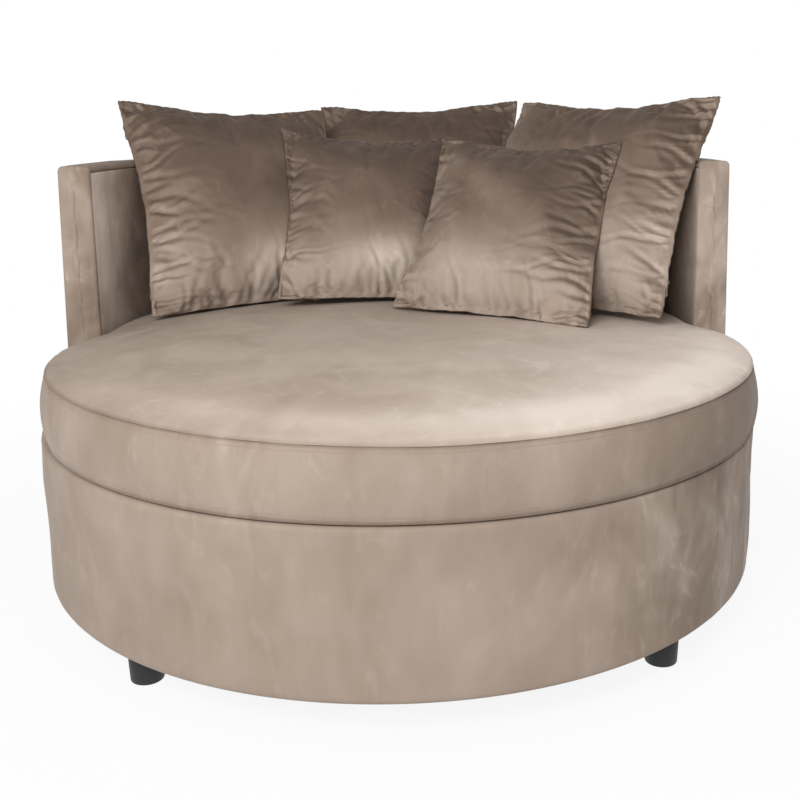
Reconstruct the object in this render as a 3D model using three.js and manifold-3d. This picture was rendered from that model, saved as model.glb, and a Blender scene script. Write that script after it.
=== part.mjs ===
// A round cuddle chair for two: a drum-shaped base on four feet, a half-round back wall standing
// on it, one thick round seat cushion, and five loose scatter cushions leaning on the wall.
// Lengths are in millimetres and angles in degrees. The chair stands on z = 0 and faces -Y,
// with +X on the right of someone looking at its front. Angles round the chair are measured
// from the middle of the back, towards +X.

import * as THREE from "three";
import { mergeVertices } from "three/addons/utils/BufferGeometryUtils.js";
import Module from "manifold-3d";

const wasm = await Module();
wasm.setup();

// Clearances between separate pieces.
const touchGap = 0.3;
const cutOverrun = 14;
const weldTolerance = 0.0001;

// Cloth, wadding and boards.
const coverCloth = 1.6;
const deckCloth = 1;
const dustCloth = 0.8;
const sideBoard = 4;
const sideFoam = 12;

// Round base. Its radius also sets the wall's, the seat's and the feet's, further down.
const baseRadius = 650;
const baseHeight = 264;
const baseLowerRound = 12;
const baseUpperRound = 6;
const topLipWidth = 30;
const bottomLipWidth = 34;
const panelThickness = 18;
const deckRingWidth = 112;
const baseUprightWidth = 70;
const baseUprightThickness = 40;
const baseUprightSetback = 6;
const baseUprightCount = 6;

// Elastic webbing and the cloth over it.
const webbingWidth = 70;
const webbingThickness = 1.5;
const webbingFuse = 0.3;
const webbingCount = 5;
const webbingSpacingShare = 0.333;
const deckClothSetback = 7;
const webbingEndMargin = 8;

// Feet, with the threaded stud that holds each one.
const footHeight = 59;
const footTopRadius = 29;
const footBottomRadius = 26;
const footEdgeRound = 3;
const footSetback = 54;
const footAngle = 43;
const studRadius = 4;
const studHoleClearance = 0.4;
const studDepthInFoot = 22;
const studAbovePanel = 9;

// Back wall.
const wallSetback = 8.5;
const wallThickness = 68.5;
const wallTopInset = 8;
const wallTopHeight = 768;
const wallHalfAngle = 86;
const wallInnerFoam = 20;
const wallBoard = 3;
const wallTopFoam = 8;
const wallTopRound = 9;
const wallCapDepth = 13;
const wallOuterFoam = 11;
const wallRailThickness = 20;
const wallUprightWidth = 45;
const wallUprightCount = 5;
const wallEndFoam = 7;

// Bolts that hold the wall to the base.
const boltRadius = 4;
const boltHoleClearance = 0.4;
const boltHeadRadius = 8;
const boltHeadHeight = 4.5;
const boltEndMargin = 3;

// Seat cushion. Its ears are the two parts in front of the wall's ends.
const seatSetback = 5.5;
const seatSeamHeight = 436;
const seatCrownShare = 0.0698;
const seatBandBulge = 10.5;
const seatEarAngle = 34;
const seatEarDepth = 48;
const seatWallGap = 3;
const seatEndGap = 5;
const seatEdgeRound = 12;
const seatSeamPinch = 2.5;

// Scatter cushions, whose sides are shares of the wall's inner radius.
const largeSideShare = 0.7728;
const smallSideShare = 0.6658;
const cushionRim = 2;
const cushionCloth = 1.2;
const cushionSeamInset = 14;
const zipSlit = 0.8;

// Counts that set how finely round shapes are divided.
const baseSteps = 60;
const wallSteps = 30;
const seatBackSteps = 17;
const seatFrontSteps = 27;
const footSteps = 18;
const boltSteps = 8;
const cushionCells = 9;
const roundSteps = 2;

// A whole turn round the chair.
const fullTurnAngle = 360;

// Shares: the seat's dome, and the scatter cushions' crown and drawn-in edges.
const seatDomePowerShare = 0.5;
const crownRoundShare = 2.2;
const crownPowerShare = 0.62;
const sideDrawShare = 0.042;
const topDrawShare = 0.045;
const bottomDrawShare = 0.012;
const crownSagShare = 0.12;
const zipLengthShare = 0.6;
const seatRingShares = [0.97, 0.86, 0.62, 0.32];
const bandHeightShares = [0, 0.12, 0.5, 0.88, 1];
const bandBulgeShares = [0.35, 0.7, 1, 0.5, 0];

const velvet = { color: 0x9a8a7c, roughness: 0.62, metalness: 0 };
const foam = { color: 0xe9e2c8, roughness: 0.95, metalness: 0 };
const plywood = { color: 0xc9a877, roughness: 0.7, metalness: 0 };
const softwood = { color: 0xd8bd8c, roughness: 0.75, metalness: 0 };
const hardboard = { color: 0x7a5a3c, roughness: 0.8, metalness: 0 };
const webbing = { color: 0x3d3a36, roughness: 0.9, metalness: 0 };
const liningCloth = { color: 0x2a2826, roughness: 0.95, metalness: 0 };
const blackPlastic = { color: 0x17171a, roughness: 0.45, metalness: 0 };
const steel = { color: 0xa9abad, roughness: 0.35, metalness: 0.9 };
const fibreFill = { color: 0xf2efe8, roughness: 1, metalness: 0 };

const chair = new THREE.Group();

function place(name, geometry, finish, parent = chair) {
  const mesh = new THREE.Mesh(geometry, new THREE.MeshStandardMaterial(finish));
  mesh.name = name;
  parent.add(mesh);
  return mesh;
}

const radians = THREE.MathUtils.degToRad;

function polar(radius, angle, z) {
  return [radius * Math.sin(radians(angle)), radius * Math.cos(radians(angle)), z];
}

// A closed triangle surface whose faces are turned outwards.
function closedSurface(points, faces) {
  let volume = 0;
  const a = new THREE.Vector3();
  const b = new THREE.Vector3();
  const c = new THREE.Vector3();
  for (const [i, j, k] of faces) {
    a.fromArray(points[i]);
    b.fromArray(points[j]);
    c.fromArray(points[k]);
    volume += a.dot(b.cross(c));
  }
  const outward = volume < 0 ? faces.map(([i, j, k]) => [i, k, j]) : faces;
  const geometry = new THREE.BufferGeometry();
  geometry.setAttribute("position", new THREE.Float32BufferAttribute(points.flat(), 3));
  geometry.setIndex(outward.flat());
  geometry.computeVertexNormals();
  return geometry;
}

// The two triangles of each cell between one loop of points and the next.
function stripFaces(first, second, count, wraps) {
  const faces = [];
  const cells = wraps ? count : count - 1;
  for (let i = 0; i < cells; i++) {
    const next = (i + 1) % count;
    faces.push([first + i, first + next, second + next]);
    faces.push([first + i, second + next, second + i]);
  }
  return faces;
}

// Closed loops joined one to the next. A ring joins its last loop to its first, and any other
// solid is closed at each end by a fan to that end's middle point.
function loopedSolid(loops, isRing, firstMiddle, lastMiddle) {
  const count = loops[0].length;
  const points = loops.flat();
  const faces = [];
  for (let row = 0; row + 1 < loops.length; row++)
    faces.push(...stripFaces(row * count, (row + 1) * count, count, true));
  const last = (loops.length - 1) * count;
  if (isRing) {
    faces.push(...stripFaces(last, 0, count, true));
  } else {
    points.push(firstMiddle, lastMiddle);
    for (let i = 0; i < count; i++) {
      const next = (i + 1) % count;
      faces.push([points.length - 2, next, i]);
      faces.push([points.length - 1, last + i, last + next]);
    }
  }
  return closedSurface(points, faces);
}

// An outline of [radius, height] points turned round the chair, all the way or between two
// angles, where the two cut ends are filled in.
function turned(outline, from = 0, to = fullTurnAngle, steps = baseSteps) {
  const full = to - from === fullTurnAngle;
  const stations = full ? steps : steps + 1;
  const loops = [];
  for (let i = 0; i < stations; i++) {
    const angle = from + ((to - from) * i) / steps;
    loops.push(outline.map(([radius, z]) => polar(radius, angle, z)));
  }
  if (full) return loopedSolid(loops, true);
  const count = outline.length;
  const points = loops.flat();
  const faces = [];
  for (let row = 0; row < steps; row++)
    faces.push(...stripFaces(row * count, (row + 1) * count, count, true));
  const flat = outline.map(([radius, z]) => new THREE.Vector2(radius, z));
  const last = steps * count;
  const isReversed = THREE.ShapeUtils.isClockWise(flat);
  for (const triangle of THREE.ShapeUtils.triangulateShape(flat, [])) {
    const [i, j, k] = isReversed ? [...triangle].reverse() : triangle;
    faces.push([k, j, i], [last + i, last + j, last + k]);
  }
  return closedSurface(points, faces);
}

// A path of corners with each inner corner rounded by an arc.
function roundedPath(corners, radii) {
  const path = [corners[0]];
  for (let i = 1; i + 1 < corners.length; i++) {
    const corner = new THREE.Vector2(...corners[i]);
    const back = new THREE.Vector2(...corners[i - 1]).sub(corner).normalize();
    const ahead = new THREE.Vector2(...corners[i + 1]).sub(corner).normalize();
    const half = Math.acos(THREE.MathUtils.clamp(back.dot(ahead), -1, 1)) / 2;
    const reach = radii[i - 1] / Math.tan(half);
    const start = corner.clone().addScaledVector(back, reach);
    const end = corner.clone().addScaledVector(ahead, reach);
    const middle = back.clone().add(ahead).normalize();
    const centre = corner.clone().addScaledVector(middle, radii[i - 1] / Math.sin(half));
    const from = start.clone().sub(centre);
    const sweep = from.clone().cross(end.clone().sub(centre)) > 0 ? 1 : -1;
    for (let k = 0; k <= roundSteps; k++) {
      const turnBy = (sweep * (Math.PI - 2 * half) * k) / roundSteps;
      const spoke = from.clone().rotateAround(new THREE.Vector2(), turnBy);
      path.push(spoke.add(centre).toArray());
    }
  }
  path.push(corners[corners.length - 1]);
  return path;
}

// The outline of a sheet that follows a path: the path itself, and the same path moved
// sideways by the sheet's thickness, to the right of the way the path runs.
function sheetOutline(path, thickness) {
  const moved = path.map((point, i) => {
    const here = new THREE.Vector2(...point);
    const before = new THREE.Vector2(...path[Math.max(i - 1, 0)]);
    const after = new THREE.Vector2(...path[Math.min(i + 1, path.length - 1)]);
    const arriving = (i > 0 ? here.clone().sub(before) : after.clone().sub(here)).normalize();
    const leaving = (i + 1 < path.length ? after.sub(here) : here.clone().sub(before)).normalize();
    const along = arriving.clone().add(leaving).normalize();
    const reach = thickness / along.dot(arriving);
    return [point[0] + along.y * reach, point[1] - along.x * reach];
  });
  return [...path, ...moved.reverse()];
}

function disc(radius, bottom, thickness, holes = []) {
  const shape = new THREE.Shape();
  shape.setFromPoints(circlePoints(radius, baseSteps, 0, 0));
  for (const [hole, x, y] of holes)
    shape.holes.push(new THREE.Path(circlePoints(hole, boltSteps, x, y)));
  return flatPlate(shape, bottom, thickness);
}

// A circle's points, counter-clockwise seen from above.
function circlePoints(radius, steps, x, y) {
  const points = [];
  for (let i = 0; i < steps; i++) {
    const [dx, dy] = polar(radius, (-fullTurnAngle * i) / steps, 0);
    points.push(new THREE.Vector2(x + dx, y + dy));
  }
  return points;
}

function flatPlate(shape, bottom, thickness) {
  const plate = new THREE.ExtrudeGeometry(shape, { depth: thickness, bevelEnabled: false });
  return plate.translate(0, 0, bottom);
}

function solidOf(geometry) {
  const bare = geometry.index ? geometry.toNonIndexed() : geometry.clone();
  bare.deleteAttribute("normal");
  bare.deleteAttribute("uv");
  const merged = mergeVertices(bare, weldTolerance);
  const vertProperties = new Float32Array(merged.attributes.position.array);
  const triVerts = new Uint32Array(merged.index.array);
  return new wasm.Manifold(new wasm.Mesh({ numProp: 3, vertProperties, triVerts }));
}

function geometryOf(solid) {
  const mesh = solid.getMesh();
  const geometry = new THREE.BufferGeometry();
  geometry.setAttribute("position", new THREE.BufferAttribute(mesh.vertProperties, 3));
  geometry.setIndex(new THREE.BufferAttribute(mesh.triVerts, 1));
  return geometry;
}

// The main radii and the cushions' sides, all from the base's radius.
const wallOuterRadius = baseRadius - wallSetback;
const wallInnerRadius = wallOuterRadius - wallThickness;
const deckClothRadius = wallInnerRadius - deckClothSetback;
const webbingReach = deckClothRadius - webbingEndMargin;
const footCircleRadius = baseRadius - footSetback;
const seatRadius = baseRadius - seatSetback;
const seatCrown = seatRadius * seatCrownShare;
const largeSide = wallInnerRadius * largeSideShare;
const smallSide = wallInnerRadius * smallSideShare;

// Levels of the base, from the floor up.
const baseBottom = footHeight + touchGap;
const baseTop = baseBottom + baseHeight;
const dustBottom = baseBottom;
const lipInnerHeight = coverCloth + touchGap;
const panelBottom = baseBottom + lipInnerHeight;
const panelTop = panelBottom + panelThickness;
const deckTop = baseTop - lipInnerHeight;
const deckBottom = deckTop - panelThickness;
const webbingBottom = deckTop + touchGap;
const webbingTop = webbingBottom + 2 * webbingThickness - webbingFuse;
const deckClothTop = webbingTop + touchGap + deckCloth;

// Radii of the base, from the cover inwards.
const foamOuterRadius = baseRadius - coverCloth - touchGap;
const boardOuterRadius = foamOuterRadius - sideFoam - touchGap;
const panelRadius = boardOuterRadius - sideBoard - touchGap;
const deckRingInnerRadius = panelRadius - deckRingWidth;

function footPlaces() {
  const names = ["front_left", "front_right", "back_right", "back_left"];
  const frontAngle = fullTurnAngle / 2;
  const angles = [frontAngle + footAngle, frontAngle - footAngle, footAngle, -footAngle];
  return names.map((name, i) => ({ name, at: polar(footCircleRadius, angles[i], 0) }));
}

// One bolt half-way between each upright of the wall and the next.
function boltPlaces() {
  const places = [];
  for (let i = 0; i + 1 < wallUprightCount; i++) {
    const between = (wallUprightAngle(i) + wallUprightAngle(i + 1)) / 2;
    places.push(polar(wallFrameRadius, between, 0));
  }
  return places;
}

// The wall from the sitting side outwards.
const innerFoamRadius = wallInnerRadius + coverCloth + touchGap;
const innerBoardRadius = innerFoamRadius + wallInnerFoam + touchGap;
const frameInnerRadius = innerBoardRadius + wallBoard + touchGap;
const outerFoamOuterRadius = wallOuterRadius - coverCloth - touchGap;
const outerBoardRadius = outerFoamOuterRadius - wallOuterFoam - touchGap - wallBoard;
const frameOuterRadius = outerBoardRadius - touchGap;
const wallFrameRadius = (frameInnerRadius + frameOuterRadius) / 2;
const wallBottom = baseTop + touchGap;
const wallPadBottom = wallTopHeight - coverCloth - touchGap - wallTopFoam;
const wallPanelTop = wallTopHeight - wallCapDepth - touchGap;
const wallRailTop = wallPadBottom - touchGap;
const wallEndThickness = coverCloth + touchGap + wallEndFoam + touchGap;
const wallBodyAngle =
  wallHalfAngle - THREE.MathUtils.radToDeg(Math.asin(wallEndThickness / wallInnerRadius));

// How far the middle of a flat facet lies inside the round it stands for.
const wallFacetDrop = frameOuterRadius * (1 - Math.cos(radians(wallBodyAngle / wallSteps)));

function wallUprightAngle(index) {
  const reach =
    wallBodyAngle - THREE.MathUtils.radToDeg((wallUprightWidth / 2 + touchGap) / frameInnerRadius);
  return -reach + (2 * reach * index) / (wallUprightCount - 1);
}

// The angles at which the seat's plan steps out from inside the wall to in front of its end.
const seatTurnIn = wallHalfAngle + THREE.MathUtils.radToDeg(seatEndGap / wallInnerRadius);
const seatTurnOut = seatTurnIn + THREE.MathUtils.radToDeg(seatEdgeRound / wallInnerRadius);

// How far the seat's dome reaches at an angle. It is a round that draws in at the ears.
function seatReach(angle) {
  const turn = Math.min(Math.abs(angle), fullTurnAngle - Math.abs(angle));
  const fromEar = Math.max(turn - seatTurnOut, seatTurnIn - turn, 0);
  const share = Math.max(0, 1 - fromEar / seatEarAngle);
  return seatRadius - seatEarDepth * (1 - Math.sqrt(1 - share ** 2));
}

// The height of the dome at a distance from the middle of the chair.
function seatTop(radius, reach) {
  const share = Math.max(0, 1 - (radius / reach) ** 2);
  return seatSeamHeight + seatCrown * share ** seatDomePowerShare;
}

function buildBase() {
  const coverPath = roundedPath(
    [
      [baseRadius - bottomLipWidth, baseBottom],
      [baseRadius, baseBottom],
      [baseRadius, baseTop],
      [baseRadius - topLipWidth, baseTop],
    ],
    [baseLowerRound, baseUpperRound],
  ).reverse();
  place("base_side_cover", turned(sheetOutline(coverPath, coverCloth)), velvet);

  const foamRound = baseLowerRound - coverCloth;
  const foamPath = roundedPath(
    [
      [boardOuterRadius + touchGap, panelBottom],
      [foamOuterRadius, panelBottom],
      [foamOuterRadius, deckTop],
      [boardOuterRadius + touchGap, deckTop],
    ],
    [foamRound, baseUpperRound],
  );
  place("base_side_foam", turned(foamPath), foam);

  const boardInnerRadius = boardOuterRadius - sideBoard;
  place(
    "base_side_board",
    turned([
      [boardInnerRadius, panelBottom],
      [boardOuterRadius, panelBottom],
      [boardOuterRadius, deckTop],
      [boardInnerRadius, deckTop],
    ]),
    hardboard,
  );

  const studHoles = footPlaces().map(({ at }) => [studRadius + studHoleClearance, at[0], at[1]]);
  const dustRadius = baseRadius - bottomLipWidth - touchGap;
  place("base_dust_cover", disc(dustRadius, dustBottom, dustCloth, studHoles), liningCloth);
  place("base_bottom_panel", disc(panelRadius, panelBottom, panelThickness, studHoles), plywood);

  const ringShape = new THREE.Shape(circlePoints(panelRadius, baseSteps, 0, 0));
  ringShape.holes.push(new THREE.Path(circlePoints(deckRingInnerRadius, baseSteps, 0, 0)));
  for (const [x, y] of boltPlaces())
    ringShape.holes.push(
      new THREE.Path(circlePoints(boltRadius + boltHoleClearance, boltSteps, x, y)),
    );
  place("base_deck_ring", flatPlate(ringShape, deckBottom, panelThickness), plywood);

  const uprightHeight = deckBottom - panelTop - 2 * touchGap;
  const uprightRadius = panelRadius - baseUprightSetback - baseUprightThickness;
  for (let i = 0; i < baseUprightCount; i++) {
    const upright = place(
      "base_upright_" + (i + 1),
      new THREE.BoxGeometry(baseUprightWidth, baseUprightThickness, uprightHeight),
      softwood,
    );
    const angle = (fullTurnAngle * (i + 1 / 2)) / baseUprightCount;
    upright.position.set(...polar(uprightRadius, angle, panelTop + touchGap + uprightHeight / 2));
    upright.rotation.z = -radians(angle);
  }

  place("seat_webbing", webbingLattice(), webbing);
  place(
    "seat_deck_cloth",
    disc(deckClothRadius, webbingTop + touchGap, deckCloth),
    liningCloth,
  );
}

// Straps in two directions, one layer on the other, fastened together where they cross.
function webbingLattice() {
  let lattice = null;
  for (let layer = 0; layer < 2; layer++) {
    const middle = webbingBottom + webbingThickness / 2 + layer * (webbingThickness - webbingFuse);
    for (let i = 0; i < webbingCount; i++) {
      const offset = (i - (webbingCount - 1) / 2) * webbingReach * webbingSpacingShare;
      const outer = Math.abs(offset) + webbingWidth / 2;
      const length = 2 * Math.sqrt(webbingReach ** 2 - outer ** 2);
      const strap = new THREE.BoxGeometry(
        layer ? length : webbingWidth,
        layer ? webbingWidth : length,
        webbingThickness,
      );
      strap.translate(layer ? 0 : offset, layer ? offset : 0, middle);
      const solid = solidOf(strap);
      lattice = lattice ? lattice.add(solid) : solid;
    }
  }
  return geometryOf(lattice);
}

function buildFeet() {
  const bore = studRadius + studHoleClearance;
  const profile = [
    [0, 0],
    [footBottomRadius - footEdgeRound, 0],
    [footBottomRadius, footEdgeRound],
    [footTopRadius, footHeight],
    [bore, footHeight],
    [bore, footHeight - studDepthInFoot],
    [0, footHeight - studDepthInFoot],
  ].map(([radius, z]) => new THREE.Vector2(radius, z));
  const studBottom = footHeight - studDepthInFoot + touchGap;
  const studLength = panelTop + studAbovePanel - studBottom;
  for (const { name, at } of footPlaces()) {
    const foot = new THREE.LatheGeometry(profile, footSteps).rotateX(Math.PI / 2);
    place("foot_" + name, foot, blackPlastic).position.set(...at);
    const stud = new THREE.CylinderGeometry(studRadius, studRadius, studLength, boltSteps);
    stud.rotateX(Math.PI / 2).translate(0, 0, studBottom + studLength / 2);
    place("foot_stud_" + name, stud, steel).position.set(...at);
  }
}

function wallRing(name, innerRadius, outerRadius, bottom, top, finish) {
  const outline = [
    [innerRadius, bottom],
    [outerRadius, bottom],
    [outerRadius, top],
    [innerRadius, top],
  ];
  place(name, turned(outline, -wallBodyAngle, wallBodyAngle, wallSteps), finish);
}

function wallRail(name, bottom, holes) {
  const shape = new THREE.Shape();
  const arc = (radius, from, to) => {
    const points = [];
    for (let i = 0; i <= wallSteps; i++) {
      const [x, y] = polar(radius, from + ((to - from) * i) / wallSteps, 0);
      points.push(new THREE.Vector2(x, y));
    }
    return points;
  };
  const inner = arc(frameInnerRadius, -wallBodyAngle, wallBodyAngle);
  const outer = arc(frameOuterRadius, wallBodyAngle, -wallBodyAngle);
  shape.setFromPoints([...inner, ...outer]);
  for (const [x, y] of holes)
    shape.holes.push(
      new THREE.Path(circlePoints(boltRadius + boltHoleClearance, boltSteps, x, y)),
    );
  place(name, flatPlate(shape, bottom, wallRailThickness), plywood);
}

function buildWall() {
  const lean = (z) => (wallTopInset * (z - wallBottom)) / (wallTopHeight - wallBottom);
  wallRail("back_bottom_rail", wallBottom, boltPlaces());
  wallRail("back_top_rail", wallRailTop - wallRailThickness, []);

  const uprightBottom = wallBottom + wallRailThickness + touchGap;
  const uprightHeight = wallRailTop - wallRailThickness - touchGap - uprightBottom;
  const cornerDrop = frameInnerRadius * (1 - Math.cos(wallUprightWidth / 2 / frameInnerRadius));
  const spareDepth = 2 * (Math.max(cornerDrop, wallFacetDrop) + touchGap);
  const uprightDepth = frameOuterRadius - frameInnerRadius - spareDepth;
  for (let i = 0; i < wallUprightCount; i++) {
    const upright = place(
      "back_upright_" + (i + 1),
      new THREE.BoxGeometry(wallUprightWidth, uprightDepth, uprightHeight),
      softwood,
    );
    const angle = wallUprightAngle(i);
    upright.position.set(...polar(wallFrameRadius, angle, uprightBottom + uprightHeight / 2));
    upright.rotation.z = -radians(angle);
  }

  const boardTop = wallRailTop;
  wallRing(
    "back_inner_board",
    innerBoardRadius,
    innerBoardRadius + wallBoard,
    wallBottom,
    boardTop,
    hardboard,
  );
  wallRing(
    "back_outer_board",
    outerBoardRadius,
    outerBoardRadius + wallBoard,
    wallBottom,
    boardTop,
    hardboard,
  );
  wallRing(
    "back_inner_foam",
    innerFoamRadius,
    innerFoamRadius + wallInnerFoam,
    wallBottom,
    boardTop,
    foam,
  );
  const outerFoam = [
    [outerBoardRadius + wallBoard + touchGap, wallBottom],
    [outerFoamOuterRadius - lean(wallBottom), wallBottom],
    [outerFoamOuterRadius - lean(boardTop), boardTop],
    [outerBoardRadius + wallBoard + touchGap, boardTop],
  ];
  place("back_outer_foam", turned(outerFoam, -wallBodyAngle, wallBodyAngle, wallSteps), foam);

  wallRing(
    "back_inner_cover",
    wallInnerRadius,
    wallInnerRadius + coverCloth,
    wallBottom,
    wallPanelTop,
    velvet,
  );
  const outerCover = [
    [wallOuterRadius - coverCloth - lean(wallBottom), wallBottom],
    [wallOuterRadius - lean(wallBottom), wallBottom],
    [wallOuterRadius - lean(wallPanelTop), wallPanelTop],
    [wallOuterRadius - coverCloth - lean(wallPanelTop), wallPanelTop],
  ];
  place("back_outer_cover", turned(outerCover, -wallBodyAngle, wallBodyAngle, wallSteps), velvet);

  const topOuterRadius = wallOuterRadius - lean(wallTopHeight);
  const capBottom = wallPanelTop + touchGap;
  const capPath = roundedPath(
    [
      [wallInnerRadius, capBottom],
      [wallInnerRadius, wallTopHeight],
      [topOuterRadius, wallTopHeight],
      [topOuterRadius, capBottom],
    ],
    [wallTopRound, wallTopRound],
  );
  const cap = turned(sheetOutline(capPath, coverCloth), -wallBodyAngle, wallBodyAngle, wallSteps);
  place("back_top_cover", cap, velvet);

  const padInset = coverCloth + touchGap;
  const padRound = wallTopRound - coverCloth;
  const padOutline = roundedPath(
    [
      [wallInnerRadius + padInset, wallPadBottom],
      [wallInnerRadius + padInset, wallTopHeight - padInset],
      [topOuterRadius - padInset, wallTopHeight - padInset],
      [topOuterRadius - padInset, wallPadBottom],
    ],
    [padRound, padRound],
  );
  place("back_top_foam", turned(padOutline, -wallBodyAngle, wallBodyAngle, wallSteps), foam);

  for (const [side, sign] of [
    ["left", -1],
    ["right", 1],
  ])
    buildWallEnd(side, sign, lean);
}

// A flat padded panel that closes one end of the wall, with its two top corners rounded.
function buildWallEnd(side, sign, lean) {
  const panelShape = (inset) => {
    const outline = roundedPath(
      [
        [wallInnerRadius + inset, wallBottom],
        [wallInnerRadius + inset, wallTopHeight - inset],
        [wallOuterRadius - lean(wallTopHeight) - inset, wallTopHeight - inset],
        [wallOuterRadius - inset, wallBottom],
      ],
      [wallTopRound - inset, wallTopRound - inset],
    );
    return new THREE.Shape(outline.map(([radius, z]) => new THREE.Vector2(radius, z)));
  };
  const ends = new THREE.Group();
  ends.rotation.z = -sign * radians(wallHalfAngle);
  chair.add(ends);
  // In the turned group the panel stands in the plane of Y and Z, with its face towards +X or -X.
  const panel = (shape, thickness, depth) => {
    const plate = new THREE.ExtrudeGeometry(shape, { depth: thickness, bevelEnabled: false });
    plate.rotateX(Math.PI / 2).rotateZ(Math.PI / 2);
    const outerFace = sign > 0 ? -depth - thickness : depth;
    return plate.translate(outerFace, 0, 0);
  };
  place("back_end_cover_" + side, panel(panelShape(0), coverCloth, 0), velvet, ends);
  const foamDepth = coverCloth + touchGap;
  place("back_end_foam_" + side, panel(panelShape(foamDepth), wallEndFoam, foamDepth), foam, ends);
}

function buildBolts() {
  const shankTop = wallBottom + wallRailThickness + boltEndMargin;
  const headTop = deckBottom - touchGap;
  boltPlaces().forEach((at, i) => {
    const profile = [
      [0, headTop - boltHeadHeight],
      [boltHeadRadius, headTop - boltHeadHeight],
      [boltHeadRadius, headTop],
      [boltRadius, headTop],
      [boltRadius, shankTop],
      [0, shankTop],
    ].map(([radius, z]) => new THREE.Vector2(radius, z));
    const bolt = new THREE.LatheGeometry(profile, boltSteps).rotateX(Math.PI / 2);
    place("back_bolt_" + (i + 1), bolt, steel).position.set(...at);
  });
}

// The seat cushion's plan: the full round in front, and inside the wall at the back, with an
// ear in front of each end of the wall.
function seatAngles() {
  const frontAngle = fullTurnAngle - 2 * seatTurnOut;
  const angles = [];
  for (let i = 0; i <= seatBackSteps; i++)
    angles.push([-seatTurnIn + (2 * seatTurnIn * i) / seatBackSteps, false]);
  for (let i = 0; i <= seatFrontSteps; i++)
    angles.push([seatTurnOut + (frontAngle * i) / seatFrontSteps, true]);
  return angles;
}

const seatBackRadius = wallInnerRadius - seatWallGap - seatBandBulge;

// One closed loop round the seat cushion. The inset draws it in from the seams, and the share
// draws it towards the middle.
function seatLoop(inset, heightAt, share = 1) {
  return seatAngles().map(([angle, inFront]) => {
    const reach = seatReach(angle);
    const edgeRadius = inFront ? reach : seatBackRadius;
    const radius = share * (edgeRadius - inset);
    return polar(radius, angle, heightAt(radius, edgeRadius, reach));
  });
}

function buildSeatCushion() {
  const bottom = deckClothTop + touchGap;
  const under = coverCloth + touchGap;
  const dome = (lowered) => (radius, edgeRadius, reach) => seatTop(radius, reach) - lowered;
  const crownTop = seatSeamHeight + seatCrown;
  const level = (z) => () => z;

  const topLoops = [
    ...seatRingShares.map((share) => seatLoop(0, dome(coverCloth), share)).reverse(),
    seatLoop(0, dome(coverCloth)),
    seatLoop(0, dome(0)),
    ...seatRingShares.map((share) => seatLoop(0, dome(0), share)),
  ];
  place(
    "seat_top_panel",
    loopedSolid(topLoops, false, [0, 0, crownTop - coverCloth], [0, 0, crownTop]),
    velvet,
  );

  // The boxing: a band drawn in at both seams and bulging between them.
  const bandBottom = bottom + under;
  const bandHeight = (share) => (radius, edgeRadius, reach) =>
    bandBottom + share * (seatTop(edgeRadius, reach) - under - bandBottom);
  const bandInset = (i) => seatSeamPinch - bandBulgeShares[i] * (seatBandBulge + seatSeamPinch);
  const bandFace = (depth) =>
    bandHeightShares.map((share, i) => seatLoop(bandInset(i) + depth, bandHeight(share)));
  const bandLoops = [...bandFace(0), ...bandFace(coverCloth).reverse()];
  place("seat_side_band", loopedSolid(bandLoops, true), velvet);

  const bottomInset = bandInset(0);
  const bottomLoops = [
    seatLoop(bottomInset, level(bottom)),
    seatLoop(bottomInset, level(bottom + coverCloth)),
  ];
  place(
    "seat_bottom_panel",
    loopedSolid(bottomLoops, false, [0, 0, bottom], [0, 0, bottom + coverCloth]),
    velvet,
  );

  const coreLoops = [
    ...seatRingShares.map((share) => seatLoop(0, dome(under), share)).reverse(),
    ...bandFace(under).reverse(),
  ];
  place(
    "seat_foam_core",
    loopedSolid(coreLoops, false, [0, 0, crownTop - under], [0, 0, bandBottom]),
    foam,
  );
}

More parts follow.
